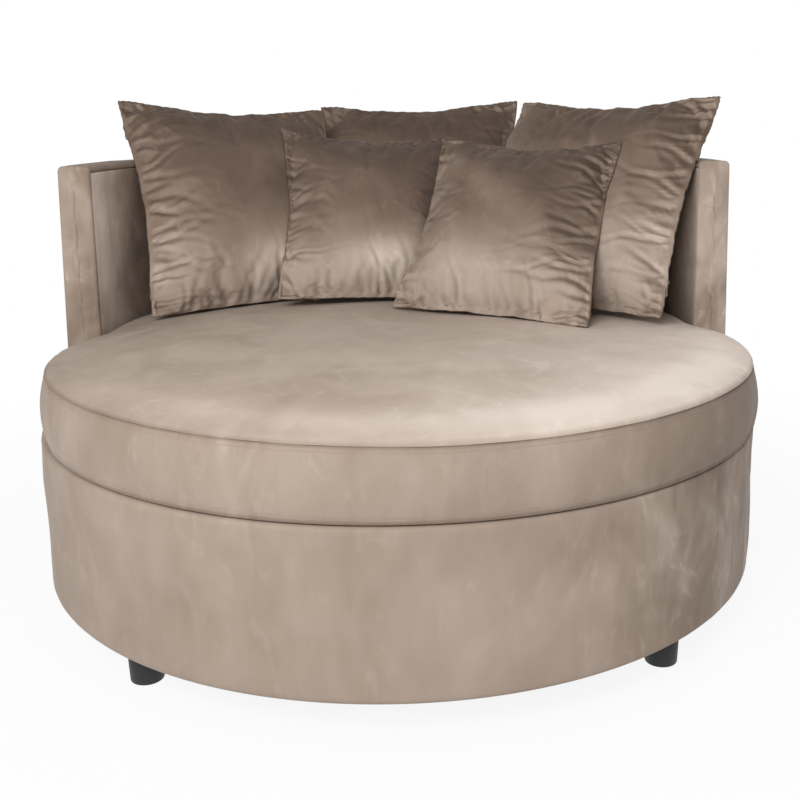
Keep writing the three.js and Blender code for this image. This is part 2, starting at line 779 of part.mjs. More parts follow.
// Where each scatter cushion stands: how far to the right of the chair's middle and how far
// behind it, as shares of the wall's inner radius, which way it is turned, how far it leans
// back, and how far it is tipped sideways. Its crowns are shares of its side. A crown shift moves
// its fullest part aside, as a neighbour presses on it, and the corner pull shares, also of its
// side, move the lower left, lower right, upper right and upper left corners.
const scatterCushions = {
  large_left: {
    side: largeSide,
    rightShare: -0.5724,
    behindShare: 0.4934,
    turnAngle: 29.1,
    leanAngle: 22.8,
    tipAngle: -1.4,
    frontCrownShare: 0.1445,
    backCrownShare: 0.0994,
    crownShiftShare: 0.3,
    cornerPullShares: [[0, -0.006], [0, 0.026], [0.006, -0.026], [-0.005, 0.007]],
  },
  large_middle: {
    side: largeSide,
    rightShare: 0.0846,
    behindShare: 0.8205,
    turnAngle: -2.5,
    leanAngle: 24,
    tipAngle: 1,
    frontCrownShare: 0.1129,
    backCrownShare: 0.0994,
    crownShiftShare: 0,
    cornerPullShares: [[-0.006, 0.007], [0.006, -0.003], [0.012, 0.003], [-0.011, -0.008]],
  },
  large_right: {
    side: largeSide,
    rightShare: 0.6684,
    behindShare: 0.2902,
    turnAngle: -41.5,
    leanAngle: 24.9,
    tipAngle: 0.3,
    frontCrownShare: 0.1355,
    backCrownShare: 0.0994,
    crownShiftShare: -0.1,
    cornerPullShares: [[0, -0.004], [-0.013, 0.002], [0.021, 0.011], [-0.008, -0.009]],
  },
  small_left: {
    side: smallSide,
    rightShare: -0.1073,
    behindShare: 0.4750,
    turnAngle: 7.6,
    leanAngle: 31.3,
    tipAngle: -3,
    frontCrownShare: 0.1363,
    backCrownShare: 0.0891,
    crownShiftShare: -0.1,
    cornerPullShares: [[0.003, 0.001], [0, 0.006], [0, -0.008], [-0.003, 0.001]],
  },
  small_right: {
    side: smallSide,
    rightShare: 0.3752,
    behindShare: 0.1653,
    turnAngle: -23.8,
    leanAngle: 34,
    tipAngle: -2.6,
    frontCrownShare: 0.1363,
    backCrownShare: 0.0996,
    crownShiftShare: 0,
    cornerPullShares: [[-0.024, -0.004], [0.011, 0], [0.006, 0.012], [0.007, -0.008]],
  },
};

// One face of a cushion: a crowned square whose four sides draw in between its corners.
function cushionFace(cushion, towards, inset, rim) {
  const { side, crownShiftShare, cornerPullShares } = cushion;
  const crown = side * (towards > 0 ? cushion.frontCrownShare : cushion.backCrownShare);
  const half = side / 2 - inset;
  const corners = [[-1, -1], [1, -1], [1, 1], [-1, 1]];
  const rows = [];
  for (let j = 0; j <= cushionCells; j++) {
    const b = Math.sin((Math.PI / 2) * ((2 * j) / cushionCells - 1));
    const row = [];
    for (let i = 0; i <= cushionCells; i++) {
      const a = Math.sin((Math.PI / 2) * ((2 * i) / cushionCells - 1));
      const endDraw = b > 0 ? topDrawShare : bottomDrawShare;
      let x = a * (half - side * sideDrawShare * (1 - b * b));
      let y = b * (half - side * endDraw * (1 - a * a));
      corners.forEach(([cornerA, cornerB], k) => {
        const weight = ((1 + cornerA * a) * (1 + cornerB * b)) / 4;
        x += weight * side * cornerPullShares[k][0];
        y += weight * side * cornerPullShares[k][1];
      });
      const across = 1 - Math.abs(a + crownShiftShare * (1 - a * a)) ** crownRoundShare;
      const along = 1 - Math.abs(b + crownSagShare * (1 - b * b)) ** crownRoundShare;
      const swell = Math.max(0, across) * Math.max(0, along);
      row.push([x, y, towards * (rim + crown * swell ** crownPowerShare)]);
    }
    rows.push(row);
  }
  return rows;
}

// Both faces of a cushion and the narrow rim that joins them along its four sides.
function cushionForm(cushion, inset, rim) {
  const count = cushionCells + 1;
  const points = [
    ...cushionFace(cushion, 1, inset, rim).flat(),
    ...cushionFace(cushion, -1, inset, rim).flat(),
  ];
  const faces = [];
  for (let row = 0; row < cushionCells; row++) {
    faces.push(...stripFaces(row * count, (row + 1) * count, count, false));
    const back = count * count;
    faces.push(
      ...stripFaces(back + (row + 1) * count, back + row * count, count, false),
    );
  }
  const border = [];
  for (let i = 0; i < cushionCells; i++) border.push(i);
  for (let i = 0; i < cushionCells; i++) border.push(i * count + cushionCells);
  for (let i = cushionCells; i > 0; i--) border.push(cushionCells * count + i);
  for (let i = cushionCells; i > 0; i--) border.push(i * count);
  border.forEach((here, i) => {
    const next = border[(i + 1) % border.length];
    faces.push([here, here + count * count, next + count * count]);
    faces.push([here, next + count * count, next]);
  });
  return closedSurface(points, faces);
}

// A cushion's own frame: X to its right, Y up its face, Z out of its front.
function cushionFrame(cushion) {
  const turn = radians(cushion.turnAngle);
  const lean = radians(cushion.leanAngle);
  const rightward = new THREE.Vector3(Math.cos(turn), Math.sin(turn), 0);
  const upward = new THREE.Vector3(
    -Math.sin(lean) * Math.sin(turn),
    Math.sin(lean) * Math.cos(turn),
    Math.cos(lean),
  );
  const outward = new THREE.Vector3().crossVectors(rightward, upward);
  const frame = new THREE.Matrix4().makeBasis(rightward, upward, outward);
  return frame.multiply(new THREE.Matrix4().makeRotationZ(radians(cushion.tipAngle)));
}

// The height at which a cushion's lowest point just clears the seat's dome.
function restingHeight(geometry, frame, right, behind) {
  const point = new THREE.Vector3();
  const places = geometry.attributes.position;
  let lift = -Infinity;
  for (let i = 0; i < places.count; i++) {
    point.fromBufferAttribute(places, i).applyMatrix4(frame);
    const radius = Math.hypot(point.x + right, point.y + behind);
    const angle = THREE.MathUtils.radToDeg(Math.atan2(point.x + right, point.y + behind));
    lift = Math.max(lift, seatTop(radius, seatReach(angle)) + touchGap - point.z);
  }
  return lift;
}

// The wall and the space just round it, which presses a dent into a cushion that leans on it.
function wallKeepOut(space) {
  const innerRadius = wallInnerRadius - wallFacetDrop - space;
  const outline = [
    [innerRadius, wallBottom],
    [wallOuterRadius, wallBottom],
    [wallOuterRadius, wallTopHeight + space],
    [innerRadius, wallTopHeight + space],
  ];
  return solidOf(turned(outline, -wallHalfAngle, wallHalfAngle, wallSteps));
}

function buildScatterCushion(name, cushion) {
  const outside = cushionForm(cushion, 0, cushionRim);
  const hollowRim = cushionRim - cushionCloth;
  const hollow = cushionForm(cushion, cushionSeamInset, hollowRim);
  const slit = new THREE.BoxGeometry(
    cushion.side * zipLengthShare,
    2 * (cushionSeamInset + cutOverrun),
    zipSlit,
  );
  slit.translate(0, -cushion.side / 2, 0);
  const filling = cushionForm(cushion, cushionSeamInset + touchGap, hollowRim - touchGap);

  const frame = cushionFrame(cushion);
  const right = wallInnerRadius * cushion.rightShare;
  const behind = wallInnerRadius * cushion.behindShare;
  frame.setPosition(right, behind, restingHeight(outside, frame, right, behind));
  const placed = (geometry, space) =>
    solidOf(geometry.applyMatrix4(frame)).subtract(wallKeepOut(space));
  const cover = placed(outside, touchGap)
    .subtract(placed(hollow, touchGap + cushionCloth))
    .subtract(solidOf(slit.applyMatrix4(frame)));
  const inner = placed(filling, touchGap + cushionCloth + touchGap);
  place("cushion_cover_" + name, geometryOf(cover), velvet);
  place("cushion_filling_" + name, geometryOf(inner), fibreFill);
}

buildBase();
buildFeet();
buildWall();
buildBolts();
buildSeatCushion();
for (const [name, cushion] of Object.entries(scatterCushions)) buildScatterCushion(name, cushion);

export default chair;
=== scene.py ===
import math
import bpy
import numpy as np
from mathutils import Matrix, Vector


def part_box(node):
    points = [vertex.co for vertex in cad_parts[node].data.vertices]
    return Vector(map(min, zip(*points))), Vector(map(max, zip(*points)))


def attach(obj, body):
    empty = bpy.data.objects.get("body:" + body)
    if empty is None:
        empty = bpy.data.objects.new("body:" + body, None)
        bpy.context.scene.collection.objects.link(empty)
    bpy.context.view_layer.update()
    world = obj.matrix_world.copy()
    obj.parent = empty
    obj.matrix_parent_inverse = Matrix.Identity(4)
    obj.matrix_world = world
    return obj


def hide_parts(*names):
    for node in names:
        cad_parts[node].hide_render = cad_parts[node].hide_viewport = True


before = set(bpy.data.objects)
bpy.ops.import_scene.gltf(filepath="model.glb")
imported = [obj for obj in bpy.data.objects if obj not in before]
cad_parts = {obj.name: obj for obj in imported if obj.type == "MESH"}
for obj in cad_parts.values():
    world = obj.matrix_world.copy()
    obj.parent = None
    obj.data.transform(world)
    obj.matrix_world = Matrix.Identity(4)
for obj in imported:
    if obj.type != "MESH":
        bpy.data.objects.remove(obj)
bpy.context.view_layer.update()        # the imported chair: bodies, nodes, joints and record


# Puts points, four-cornered faces and three-cornered faces into a new object. Values holds one
# number per point for each named attribute.
def makePiece(name, points, quads, triangles=None, values=None, material=None):
    points = np.asarray(points, np.float32).reshape(-1, 3)
    quads = np.asarray(quads, np.int32).reshape(-1, 4)
    triangles = np.asarray([] if triangles is None else triangles, np.int32).reshape(-1, 3)
    mesh = bpy.data.meshes.new(name)
    mesh.vertices.add(len(points))
    mesh.vertices.foreach_set("co", points.ravel())
    corners = np.concatenate([quads.ravel(), triangles.ravel()])
    starts = np.concatenate([np.arange(len(quads)) * 4, len(quads) * 4 + np.arange(len(triangles)) * 3])
    mesh.loops.add(len(corners))
    mesh.loops.foreach_set("vertex_index", corners)
    mesh.polygons.add(len(starts))
    mesh.polygons.foreach_set("loop_start", starts.astype(np.int32))
    mesh.update(calc_edges=True)
    mesh.validate()
    mesh.polygons.foreach_set("use_smooth", np.ones(len(mesh.polygons), bool))
    for key, value in (values or {}).items():
        layer = mesh.attributes.new(key, "FLOAT", "POINT")
        layer.data.foreach_set("value", np.broadcast_to(value, len(points)).astype(np.float32))
    piece = bpy.data.objects.new(name, mesh)
    bpy.context.scene.collection.objects.link(piece)
    if material:
        mesh.materials.append(material)
    return piece


# The faces of a grid of rows by columns, wrapped round in either way where asked.
def gridFaces(rows, columns, wrapRows=False, wrapColumns=False):
    i = np.arange(rows if wrapRows else rows - 1)[:, None]
    j = np.arange(columns if wrapColumns else columns - 1)[None, :]
    a, b = i % rows, (i + 1) % rows
    c, d = j % columns, (j + 1) % columns
    corners = a * columns + c, a * columns + d, b * columns + d, b * columns + c
    return np.stack(np.broadcast_arrays(*corners), -1).reshape(-1, 4)


# Triangles from one point to a closed ring of points.
def fanFaces(centre, ring, flipped=False):
    after = np.roll(ring, -1)
    pair = (after, ring) if flipped else (ring, after)
    return np.stack([np.full(len(ring), centre), *pair], -1)


# Vectors of length one.
def unit(v):
    return v / np.maximum(np.linalg.norm(v, axis=-1, keepdims=True), 1e-12)


# How far along a path each of its points is: the sum of the steps before it.
def runLength(path):
    return np.concatenate([[0], np.cumsum(np.linalg.norm(np.diff(path, axis=0), axis=1))])


# The columns of a table, read off at places along its path.
def readAt(at, run, table):
    return np.stack([np.interp(at, run, column) for column in table.T], -1)


# A hump that is 1 in its middle and falls off with the square of the distance from there.
def bell(away, width):
    return np.exp(-((away / width) ** 2))


# A smooth step from 0 at low to 1 at high.
def ease(value, low, high):
    t = np.clip((value - low) / (high - low), 0, 1)
    return t * t * (3 - 2 * t)


# Soft unevenness: a sum of sine waves across a plane, each with its own seeded heading and
# start, at about the height and wavelength of the pair asked for.
def ripple(x, y, wave, seed, count=9):
    height, length = wave
    rng = np.random.default_rng(seed)
    total = np.zeros(np.broadcast(x, y).shape)
    for _ in range(count):
        heading, start = rng.uniform(0, 2 * np.pi, 2)
        stride = 2 * np.pi / (length * rng.uniform(0.7, 1.6))
        total += np.sin(stride * (x * np.cos(heading) + y * np.sin(heading)) + start)
    return height * (total / math.sqrt(count / 2))


# Gathers along a seam: seeded creases that start at the seam, run square to it with a slight
# slant, and die away with distance. Along is the way along the seam, off the way from it.
def gathers(along, off, span, look, seed):
    rng = np.random.default_rng(seed)
    total = np.zeros(np.broadcast(along, off).shape)
    for _ in range(look["count"]):
        at = rng.uniform(span[0], span[1])
        width = look["width"] * rng.uniform(0.6, 1.5)
        reach = look["reach"] * rng.uniform(0.35, 1.25)
        depth = look["depth"] * rng.uniform(0.3, 1.0)
        slant = rng.uniform(-0.35, 0.35)
        side = along - at - slant * off + 0.004 * np.sin(off * 60 + at * 90)     # it wavers a little
        fall = np.exp(-((off / reach) ** 1.6)) * ease(off, -0.001, 0.006)
        total += -depth * bell(side, width) * fall
        total += 0.55 * depth * bell(np.abs(side) - 1.7 * width, width) * fall     # a low ridge on each side
    return total


# A colour given as it looks on screen, from 0 to 255, as the shader wants it.
def shade(red, green, blue):
    linear = [v / 255 / 12.92 if v <= 10 else ((v / 255 + 0.055) / 1.055) ** 2.4 for v in (red, green, blue)]
    return (*linear, 1.0)


# One socket of a node. Sums on it add Math nodes.
class Wire:
    def __init__(self, finish, socket):
        self.finish, self.socket = finish, socket

    def math(self, operation, *others, clamp=False):
        values = dict(enumerate((self, *others)))
        return self.finish.node("ShaderNodeMath", {"operation": operation, "use_clamp": clamp}, values)

    def __add__(self, other):
        return self.math("ADD", other)

    def __sub__(self, other):
        return self.math("SUBTRACT", other)

    def __rsub__(self, other):
        return self * -1 + other

    def __mul__(self, other):
        return self.math("MULTIPLY", other)

    __radd__ = __add__
    __rmul__ = __mul__

    # Kept from 0 to 1.
    def limited(self):
        return self.math("ADD", 0.0, clamp=True)


# A material under construction, or a world: its node maker, its patterns and its closing step.
class Finish:
    def __init__(self, name, store=bpy.data.materials):
        self.made = store.new(name)
        self.made.use_nodes = True
        self.tree = self.made.node_tree
        self.tree.nodes.clear()

    # Adds a node: its settings go first, then the values or links of its sockets.
    def node(self, kind, settings=None, sockets=None, output=0):
        made = self.tree.nodes.new(kind)
        for key, value in (settings or {}).items():
            if key == "stops":
                ramp = made.color_ramp
                for k, (at, colour) in enumerate(value):
                    stop = ramp.elements[k] if k < 2 else ramp.elements.new(at)
                    stop.position, stop.color = at, colour
            else:
                setattr(made, key, value)
        for key, value in (sockets or {}).items():
            if isinstance(value, Wire):
                self.tree.links.new(value.socket, made.inputs[key])
            else:
                made.inputs[key].default_value = value
        return Wire(self, made.outputs[output]) if len(made.outputs) else None

    def mix(self, share, first, second):
        return self.node("ShaderNodeMix", {"data_type": "RGBA"}, {0: share, 6: first, 7: second}, 2)

    def noise(self, vector, scale, detail=2.0, roughness=0.5, distortion=0.0):
        return self.node("ShaderNodeTexNoise", {}, {"Vector": vector, "Scale": scale, "Detail": detail,
                                                    "Roughness": roughness, "Distortion": distortion})

    def waves(self, direction, scale, distortion=0.0):
        return self.node("ShaderNodeTexWave", {"bands_direction": direction},
                         {"Vector": self.place(), "Scale": scale, "Distortion": distortion})

    # Where a point is on its piece, stretched and turned.
    def place(self, stretch=(1, 1, 1), turn=(0, 0, 0)):
        where = self.node("ShaderNodeTexCoord", output="Object")
        return self.node("ShaderNodeMapping", {}, {"Vector": where, "Scale": stretch, "Rotation": turn})

    def attribute(self, name):
        return self.node("ShaderNodeAttribute", {"attribute_name": name}, output="Fac")

    # 1 where the camera sees the surface, by itself or by one of the kinds of ray named.
    def seen(self, *rays):
        share = self.node("ShaderNodeLightPath", output="Is Camera Ray")
        for ray in rays:
            share = share.math("MAXIMUM", self.node("ShaderNodeLightPath", output=ray))
        return share

    def bump(self, height, distance, strength):
        return self.node("ShaderNodeBump", {}, {"Height": height, "Distance": distance, "Strength": strength})

    # Wires up the closing shader. Numbers and plain colours are set on its own sockets.
    def close(self, **sockets):
        named = {key.replace("_", " "): value for key, value in sockets.items()}
        surface = self.node("ShaderNodeBsdfPrincipled", {}, named)
        return self.end(surface, "ShaderNodeOutputMaterial")

    def end(self, surface, kind):
        self.node(kind, {}, {"Surface": surface})
        return self.made


velvetLook = {
    "tones": [(0.0, shade(58, 44, 36)), (1.0, shade(236, 222, 210)), (0.25, shade(101, 84, 72)),
              (0.5, shade(146, 129, 115)), (0.75, shade(191, 175, 162))],
    "cloudSize": 4.2, "patchSize": 10.0, "strokeSize": 46.0, "scuffSize": 20.0, "pileSize": 1500.0,
}


# Short-pile velvet. Its colour level comes from a per-point attribute, from 0, dark, to 1,
# light: the velvet's own tone, with painted light, painted shade and painted highlights laid into it.
# Wide clouds, brushed patches and fine strokes wander round it, and the crush attribute says
# how strongly. A very fine noise is the pile itself.
def makeVelvet(name, look):
    f = Finish(name)
    where = f.place()
    cloud = f.noise(where, look["cloudSize"], 3.0, 0.55, 0.3)
    patch = f.noise(f.place((1, 1, 0.6), (0, 0.5, 0.3)), look["patchSize"], 2.5, 0.5, 0.8)
    stroke = f.noise(f.place((1, 1, 0.3), (0, 0.35, 0)), look["strokeSize"], 3.0, 0.6, 0.5)
    pile = f.noise(where, look["pileSize"], 2.0, 0.6)
    scuff = f.noise(f.place((1, 1, 0.45), (0.4, 0.3, 0)), look["scuffSize"], 4.0, 0.65, 1.4)
    mark = ((scuff - 0.56) * 6.0).limited()
    # The colour level read here holds painted light and painted shade.
    toneAndPaintedLight, crush = f.attribute("toneAndPaintedLight"), f.attribute("crush")
    wander = (cloud - 0.5) * 0.18 + (patch - 0.5) * (0.09 + 0.85 * crush)
    wander = wander + (stroke - 0.5) * (0.04 + 0.2 * crush)
    tone = (toneAndPaintedLight + wander + mark * (0.035 + 0.16 * crush)).limited()
    colour = f.node("ShaderNodeValToRGB", {"stops": look["tones"]}, {"Fac": tone})
    speck = f.mix((0.12 * pile).limited(), colour, shade(70, 56, 48))
    bump = f.bump(pile * 0.6 + stroke * 0.4, 0.0005, 0.45)
    return f.close(Base_Color=speck, Roughness=0.84 - 0.2 * tone, Normal=bump, Specular_IOR_Level=0.25,
                   Sheen_Weight=0.15, Sheen_Roughness=0.4, Sheen_Tint=(1.0, 0.95, 0.9, 1.0))


# Woven or felted lining: two crossed fine waves with a little noise.
def makeLining(name):
    f = Finish(name)
    weave = f.waves("X", 260.0, 0.6) * 0.5 + f.waves("Y", 260.0, 0.6) * 0.5
    fluff = f.noise(f.place(), 40.0, 3.0)
    colour = f.mix((weave * 0.6 + fluff * 0.4).limited(), shade(34, 32, 31), shade(62, 59, 57))
    return f.close(Base_Color=colour, Roughness=0.95 - 0.1 * fluff, Normal=f.bump(weave, 0.0004, 0.6))


# Elastic webbing: fine ribs with a little fluff.
def makeWebbing(name):
    f = Finish(name)
    ribs = f.waves("DIAGONAL", 150.0)
    fluff = f.noise(f.place(), 130.0, 3.0)
    colour = f.mix((ribs * 0.7 + fluff * 0.3).limited(), shade(46, 42, 38), shade(88, 82, 74))
    return f.close(Base_Color=colour, Roughness=0.9 - 0.1 * fluff, Normal=f.bump(ribs, 0.0005, 0.6))


# Wood: long drawn-out noise for the grain, with pores over it and, in plywood, its layers.
def makeWood(name, pale, deep, stretch, ply=False):
    f = Finish(name)
    grain = f.noise(f.place(stretch), 9.0, 5.0, 0.6, 0.8)
    pores = f.noise(f.place(tuple(8 * s for s in stretch)), 30.0, 2.0)
    tone = grain * 0.8 + pores * 0.2
    colour = f.mix(((tone - 0.3) * 1.8).limited(), pale, deep)
    if ply:
        colour = f.mix(f.waves("Z", 52.0, 0.4) * 0.35, colour, deep)
    return f.close(Base_Color=colour, Roughness=0.62 + 0.2 * pores, Normal=f.bump(tone, 0.0006, 0.5))


# Hardboard: pressed fibres, short and in every direction.
def makeHardboard(name):
    f = Finish(name)
    fibres = f.noise(f.place(), 420.0, 4.0, 0.7, 1.5)
    blotch = f.noise(f.place(), 14.0, 3.0)
    colour = f.mix((fibres * 0.6 + blotch * 0.4).limited(), shade(96, 70, 46), shade(146, 114, 80))
    return f.close(Base_Color=colour, Roughness=0.7 + 0.2 * fibres, Normal=f.bump(fibres, 0.0003, 0.5))


# Moulded black plastic with a fine grain and faint scuffs.
def makeBlackPlastic(name):
    f = Finish(name)
    grain = f.noise(f.place(), 900.0, 3.0, 0.6)
    scuffs = f.noise(f.place((1, 1, 0.25)), 60.0, 4.0, 0.6, 1.2)
    colour = f.mix((scuffs * 1.4 - 0.4).limited(), shade(24, 24, 26), shade(46, 45, 47))
    return f.close(Base_Color=colour, Roughness=0.38 + 0.22 * scuffs, Normal=f.bump(grain, 0.0002, 0.4))


# Zinc-plated steel: faint drawn lines and a slightly yellow cast.
def makeSteel(name):
    f = Finish(name)
    lines = f.noise(f.place((1, 1, 14)), 60.0, 3.0)
    colour = f.mix(lines, shade(176, 174, 168), shade(206, 205, 202))
    return f.close(Base_Color=colour, Metallic=1.0, Roughness=0.28 + 0.2 * lines,
                   Normal=f.bump(lines, 0.0001, 0.4))


# Sewing thread: a fine twist.
def makeThread(name):
    f = Finish(name)
    twist = f.noise(f.place(), 2500.0, 2.0)
    colour = f.mix(twist, shade(150, 133, 119), shade(190, 173, 159))
    return f.close(Base_Color=colour, Roughness=0.7 + 0.2 * twist, Normal=f.bump(twist, 0.0001, 0.5))


velvet = makeVelvet("taupeVelvet", velvetLook)
lining = makeLining("blackLining")
webbing = makeWebbing("elasticWebbing")
plywood = makeWood("birchPlywood", shade(206, 172, 122), shade(158, 120, 76), (1, 0.12, 1), True)
softwood = makeWood("pineWood", shade(222, 190, 138), shade(176, 134, 84), (1, 1, 0.1))
hardboard = makeHardboard("hardboard")
blackPlastic = makeBlackPlastic("blackPlastic")
steel = makeSteel("zincSteel")
thread = makeThread("sewingThread")

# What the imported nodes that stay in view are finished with, by how their names start.
carriedOver = {
    "seat_webbing": webbing,
    "base_side_board": hardboard, "back_inner_board": hardboard, "back_outer_board": hardboard,
    "base_bottom_panel": plywood, "base_deck_ring": plywood,
    "back_bottom_rail": plywood, "back_top_rail": plywood,
    "base_upright_": softwood, "back_upright_": softwood,
    "foot_stud_": steel, "back_bolt_": steel,
}
for nodeName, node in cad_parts.items():
    for start, finish in carriedOver.items():
        if nodeName.startswith(start):
            node.material_slots[0].material = finish
print("finishes made")


# Every new piece is finished the same way: the nodes it stands for are hidden, and it rides on
# its body.
def settle(piece, nodes=(), body="chair_frame"):
    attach(piece, body)
    if nodes:
        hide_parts(*nodes)


# Gives a cover or cloth its thickness, inwards from its face.
def thicken(piece, thickness):
    thick = piece.modifiers.new("cloth", "SOLIDIFY")
    thick.thickness, thick.offset = thickness, -1


view = {
    "eye": (0.0, -2.0411, 0.8841), "yaw": 3.3, "pitch": 11.5, "roll": -0.3,
    "focal": 1100.0, "centre": (464.0, 324.0),   # in pixels of the picture
    "imageSize": 800, "filmWidth": 36.0,
}


# The camera looks along yaw and pitch from its eye, rolled about that line, and is shifted so
# that it looks straight at the pixel named as its centre.
def makeCamera(look):
    yaw, pitch, roll = (math.radians(look[k]) for k in ("yaw", "pitch", "roll"))
    ahead = Vector((math.sin(yaw) * math.cos(pitch), math.cos(yaw) * math.cos(pitch), -math.sin(pitch)))
    level = Vector((math.cos(yaw), -math.sin(yaw), 0))
    above = level.cross(ahead)
    across = level * math.cos(roll) + above * math.sin(roll)
    upward = above * math.cos(roll) - level * math.sin(roll)
    data = bpy.data.cameras.new("camera")
    data.sensor_width = look["filmWidth"]
    data.lens = look["focal"] / look["imageSize"] * look["filmWidth"]
    data.shift_x = (look["imageSize"] / 2 - look["centre"][0]) / look["imageSize"]
    data.shift_y = (look["centre"][1] - look["imageSize"] / 2) / look["imageSize"]
    data.clip_start, data.clip_end = 0.05, 60
    camera = bpy.data.objects.new("camera", data)
    camera.matrix_world = Matrix((across, upward, -ahead)).transposed().to_4x4()
    camera.location = look["eye"]
    bpy.context.scene.collection.objects.link(camera)
    bpy.context.scene.camera = camera


makeCamera(view)

floorLook = {"size": 14.0, "near": 0.9, "far": 1.7, "shown": 0.9}


# A pale floor: seen by the camera it is mostly plain white, with the chair's shadow let
# through near it and fading out with distance.
def makeFloor(look):
    half = look["size"] / 2
    corners = [(-half, -half, 0), (half, -half, 0), (half, half, 0), (-half, half, 0)]
    floor = makePiece("floor", corners, [(0, 1, 2, 3)])
    f = Finish("paleFloor")
    where = f.node("ShaderNodeTexCoord", output="Object")
    away = f.node("ShaderNodeVectorMath", {"operation": "LENGTH"}, {0: where}, "Value")
    fade = ((away - look["near"]) * (1 / (look["far"] - look["near"]))).limited()
    colour = f.mix(f.noise(where, 30.0, 3.0), shade(236, 236, 236), shade(242, 242, 242))
    matt = f.node("ShaderNodeBsdfPrincipled", {}, {"Base Color": colour, "Roughness": 0.9})
    glow = f.node("ShaderNodeEmission", {}, {"Color": (1, 1, 1, 1), "Strength": 1.0})
    share = f.seen("Is Glossy Ray", "Is Transmission Ray") * (look["shown"] + (1 - look["shown"]) * fade)
    both = f.node("ShaderNodeMixShader", {}, {0: share, 1: matt, 2: glow})
    floor.data.materials.append(f.end(both, "ShaderNodeOutputMaterial"))


makeFloor(floorLook)

worldLook = {"strength": 0.44, "tint": (1.0, 0.99, 0.975, 1)}


# The studio round the chair: soft light, and plain white where it is seen directly.
def makeWorld(look):
    f = Finish("studio", bpy.data.worlds)
    soft = f.node("ShaderNodeBackground", {}, {"Color": look["tint"], "Strength": look["strength"]})
    white = f.node("ShaderNodeBackground", {}, {"Color": (1, 1, 1, 1), "Strength": 1.0})
    both = f.node("ShaderNodeMixShader", {}, {0: f.seen("Is Transmission Ray"), 1: soft, 2: white})
    bpy.context.scene.world = f.end(both, "ShaderNodeOutputWorld")


makeWorld(worldLook)

lamps = {
    "key": {"from": (-1.3, -3.3, 2.7), "towards": (0, -0.1, 0.35), "size": (2.2, 1.6), "power": 135},
    "rim": {"from": (2.4, 1.8, 2.2), "towards": (0, 0, 0.5), "size": (1.6, 1.6), "power": 22},
}
for lampName, lamp in lamps.items():
    light = bpy.data.lights.new(lampName, "AREA")
    light.shape = "RECTANGLE"
    light.size, light.size_y = lamp["size"]
    light.energy = lamp["power"]
    lampPiece = bpy.data.objects.new(lampName, light)
    lampPiece.location = lamp["from"]
    aim = Vector(lamp["towards"]) - Vector(lamp["from"])
    lampPiece.rotation_euler = aim.to_track_quat("-Z", "Y").to_euler()
    bpy.context.scene.collection.objects.link(lampPiece)
bpy.context.scene.view_settings.view_transform = "Standard"
print("camera, floor and light made")


# Points at angles from the middle of the back, towards +x.
def polar(radius, angle, z):
    return np.stack(np.broadcast_arrays(radius * np.sin(angle), radius * np.cos(angle), z), -1)


# An arc of a circle in a profile, from one angle to another, in degrees.
def arc(centre, radius, start, stop, steps):
    t = np.radians(np.linspace(start, stop, steps))
    return np.stack([centre[0] + radius * np.cos(t), centre[1] + radius * np.sin(t)], -1)


# Even points along a profile.
def evened(path, spacing):
    path = np.asarray(path, float)
    run = runLength(path)
    count = max(2, int(math.ceil(run[-1] / spacing)) + 1)
    return readAt(np.linspace(0, run[-1], count), run, path)


drum = {
    "radius": 0.650, "bottom": 0.0593, "top": 0.3233,
    "lowerRound": 0.012, "upperRound": 0.006, "bottomLip": 0.034, "topLip": 0.030,
    "cloth": 0.0016, "innerRadius": 0.6361, "stations": 360,
    "backSeam": (0.0022, 0.0022),                  # its depth and half its width
    "waves": ((0.0006, 0.16), (0.0004, 0.05)),     # each one's height and wavelength
    "profileStep": 0.005,
}


# The base's cover with the foam under it: a profile carried round the chair. The profile runs
# from the lip under the base, round the lower edge, up the side and over the top edge to the
# upper lip, and back down inside the foam.
def makeDrum(look):
    r, zb, zt = look["radius"], look["bottom"], look["top"]
    lower, upper = look["lowerRound"], look["upperRound"]
    innerR, innerTop, innerBottom = look["innerRadius"], zt - look["cloth"], zb + look["cloth"]
    outside = evened(np.concatenate([
        [(r - look["bottomLip"], zb)], arc((r - lower, zb + lower), lower, -90, 0, 7),
        arc((r - upper, zt - upper), upper, 0, 90, 6), [(r - look["topLip"], zt)]]), look["profileStep"])
    inside = np.array([(r - look["topLip"], innerTop), (innerR, innerTop),
                       (innerR, innerBottom), (r - look["bottomLip"], innerBottom)])
    profile = np.concatenate([outside, inside])
    angle = np.linspace(0, 2 * np.pi, look["stations"], endpoint=False)[:, None]
    radius, z = profile[None, :, 0], profile[None, :, 1]
    onSide = (np.arange(len(profile)) < len(outside)) * ease(z, zb, zb + 0.02) * ease(zt - z, 0.0, 0.02)
    fromSeam = np.minimum(angle, 2 * np.pi - angle) * r
    seamDepth, seamWidth = look["backSeam"]
    longWave, shortWave = look["waves"]
    swell = ripple(angle * r, z, longWave, 11) + ripple(angle * r, z * 0.6, shortWave, 12)
    swell = swell - seamDepth * bell(fromSeam, seamWidth)
    points = polar(radius + swell * onSide, angle, z + 0 * angle)
    right = np.sin(angle) + 0 * z
    front = -np.cos(angle) + 0 * z
    # Painted shade: the cover grows darker towards its right side, away from the key light.
    toneAndPaintedLight = 0.555 + 0.01 * front - 0.08 * ease(right, 0.3, 0.9)
    crush = 0.05 + 0.50 * ease(right, 0.25, 0.75) * ease(front, -0.4, 0.2) + 0.15 * ease(-front, 0, 0.6)
    faces = gridFaces(look["stations"], len(profile), True, True)
    piece = makePiece("baseCover", points, faces, None, {"toneAndPaintedLight": toneAndPaintedLight.ravel(), "crush": crush.ravel()}, velvet)
    settle(piece, ["base_side_cover", "base_side_foam"])


makeDrum(drum)
print("base cover made")


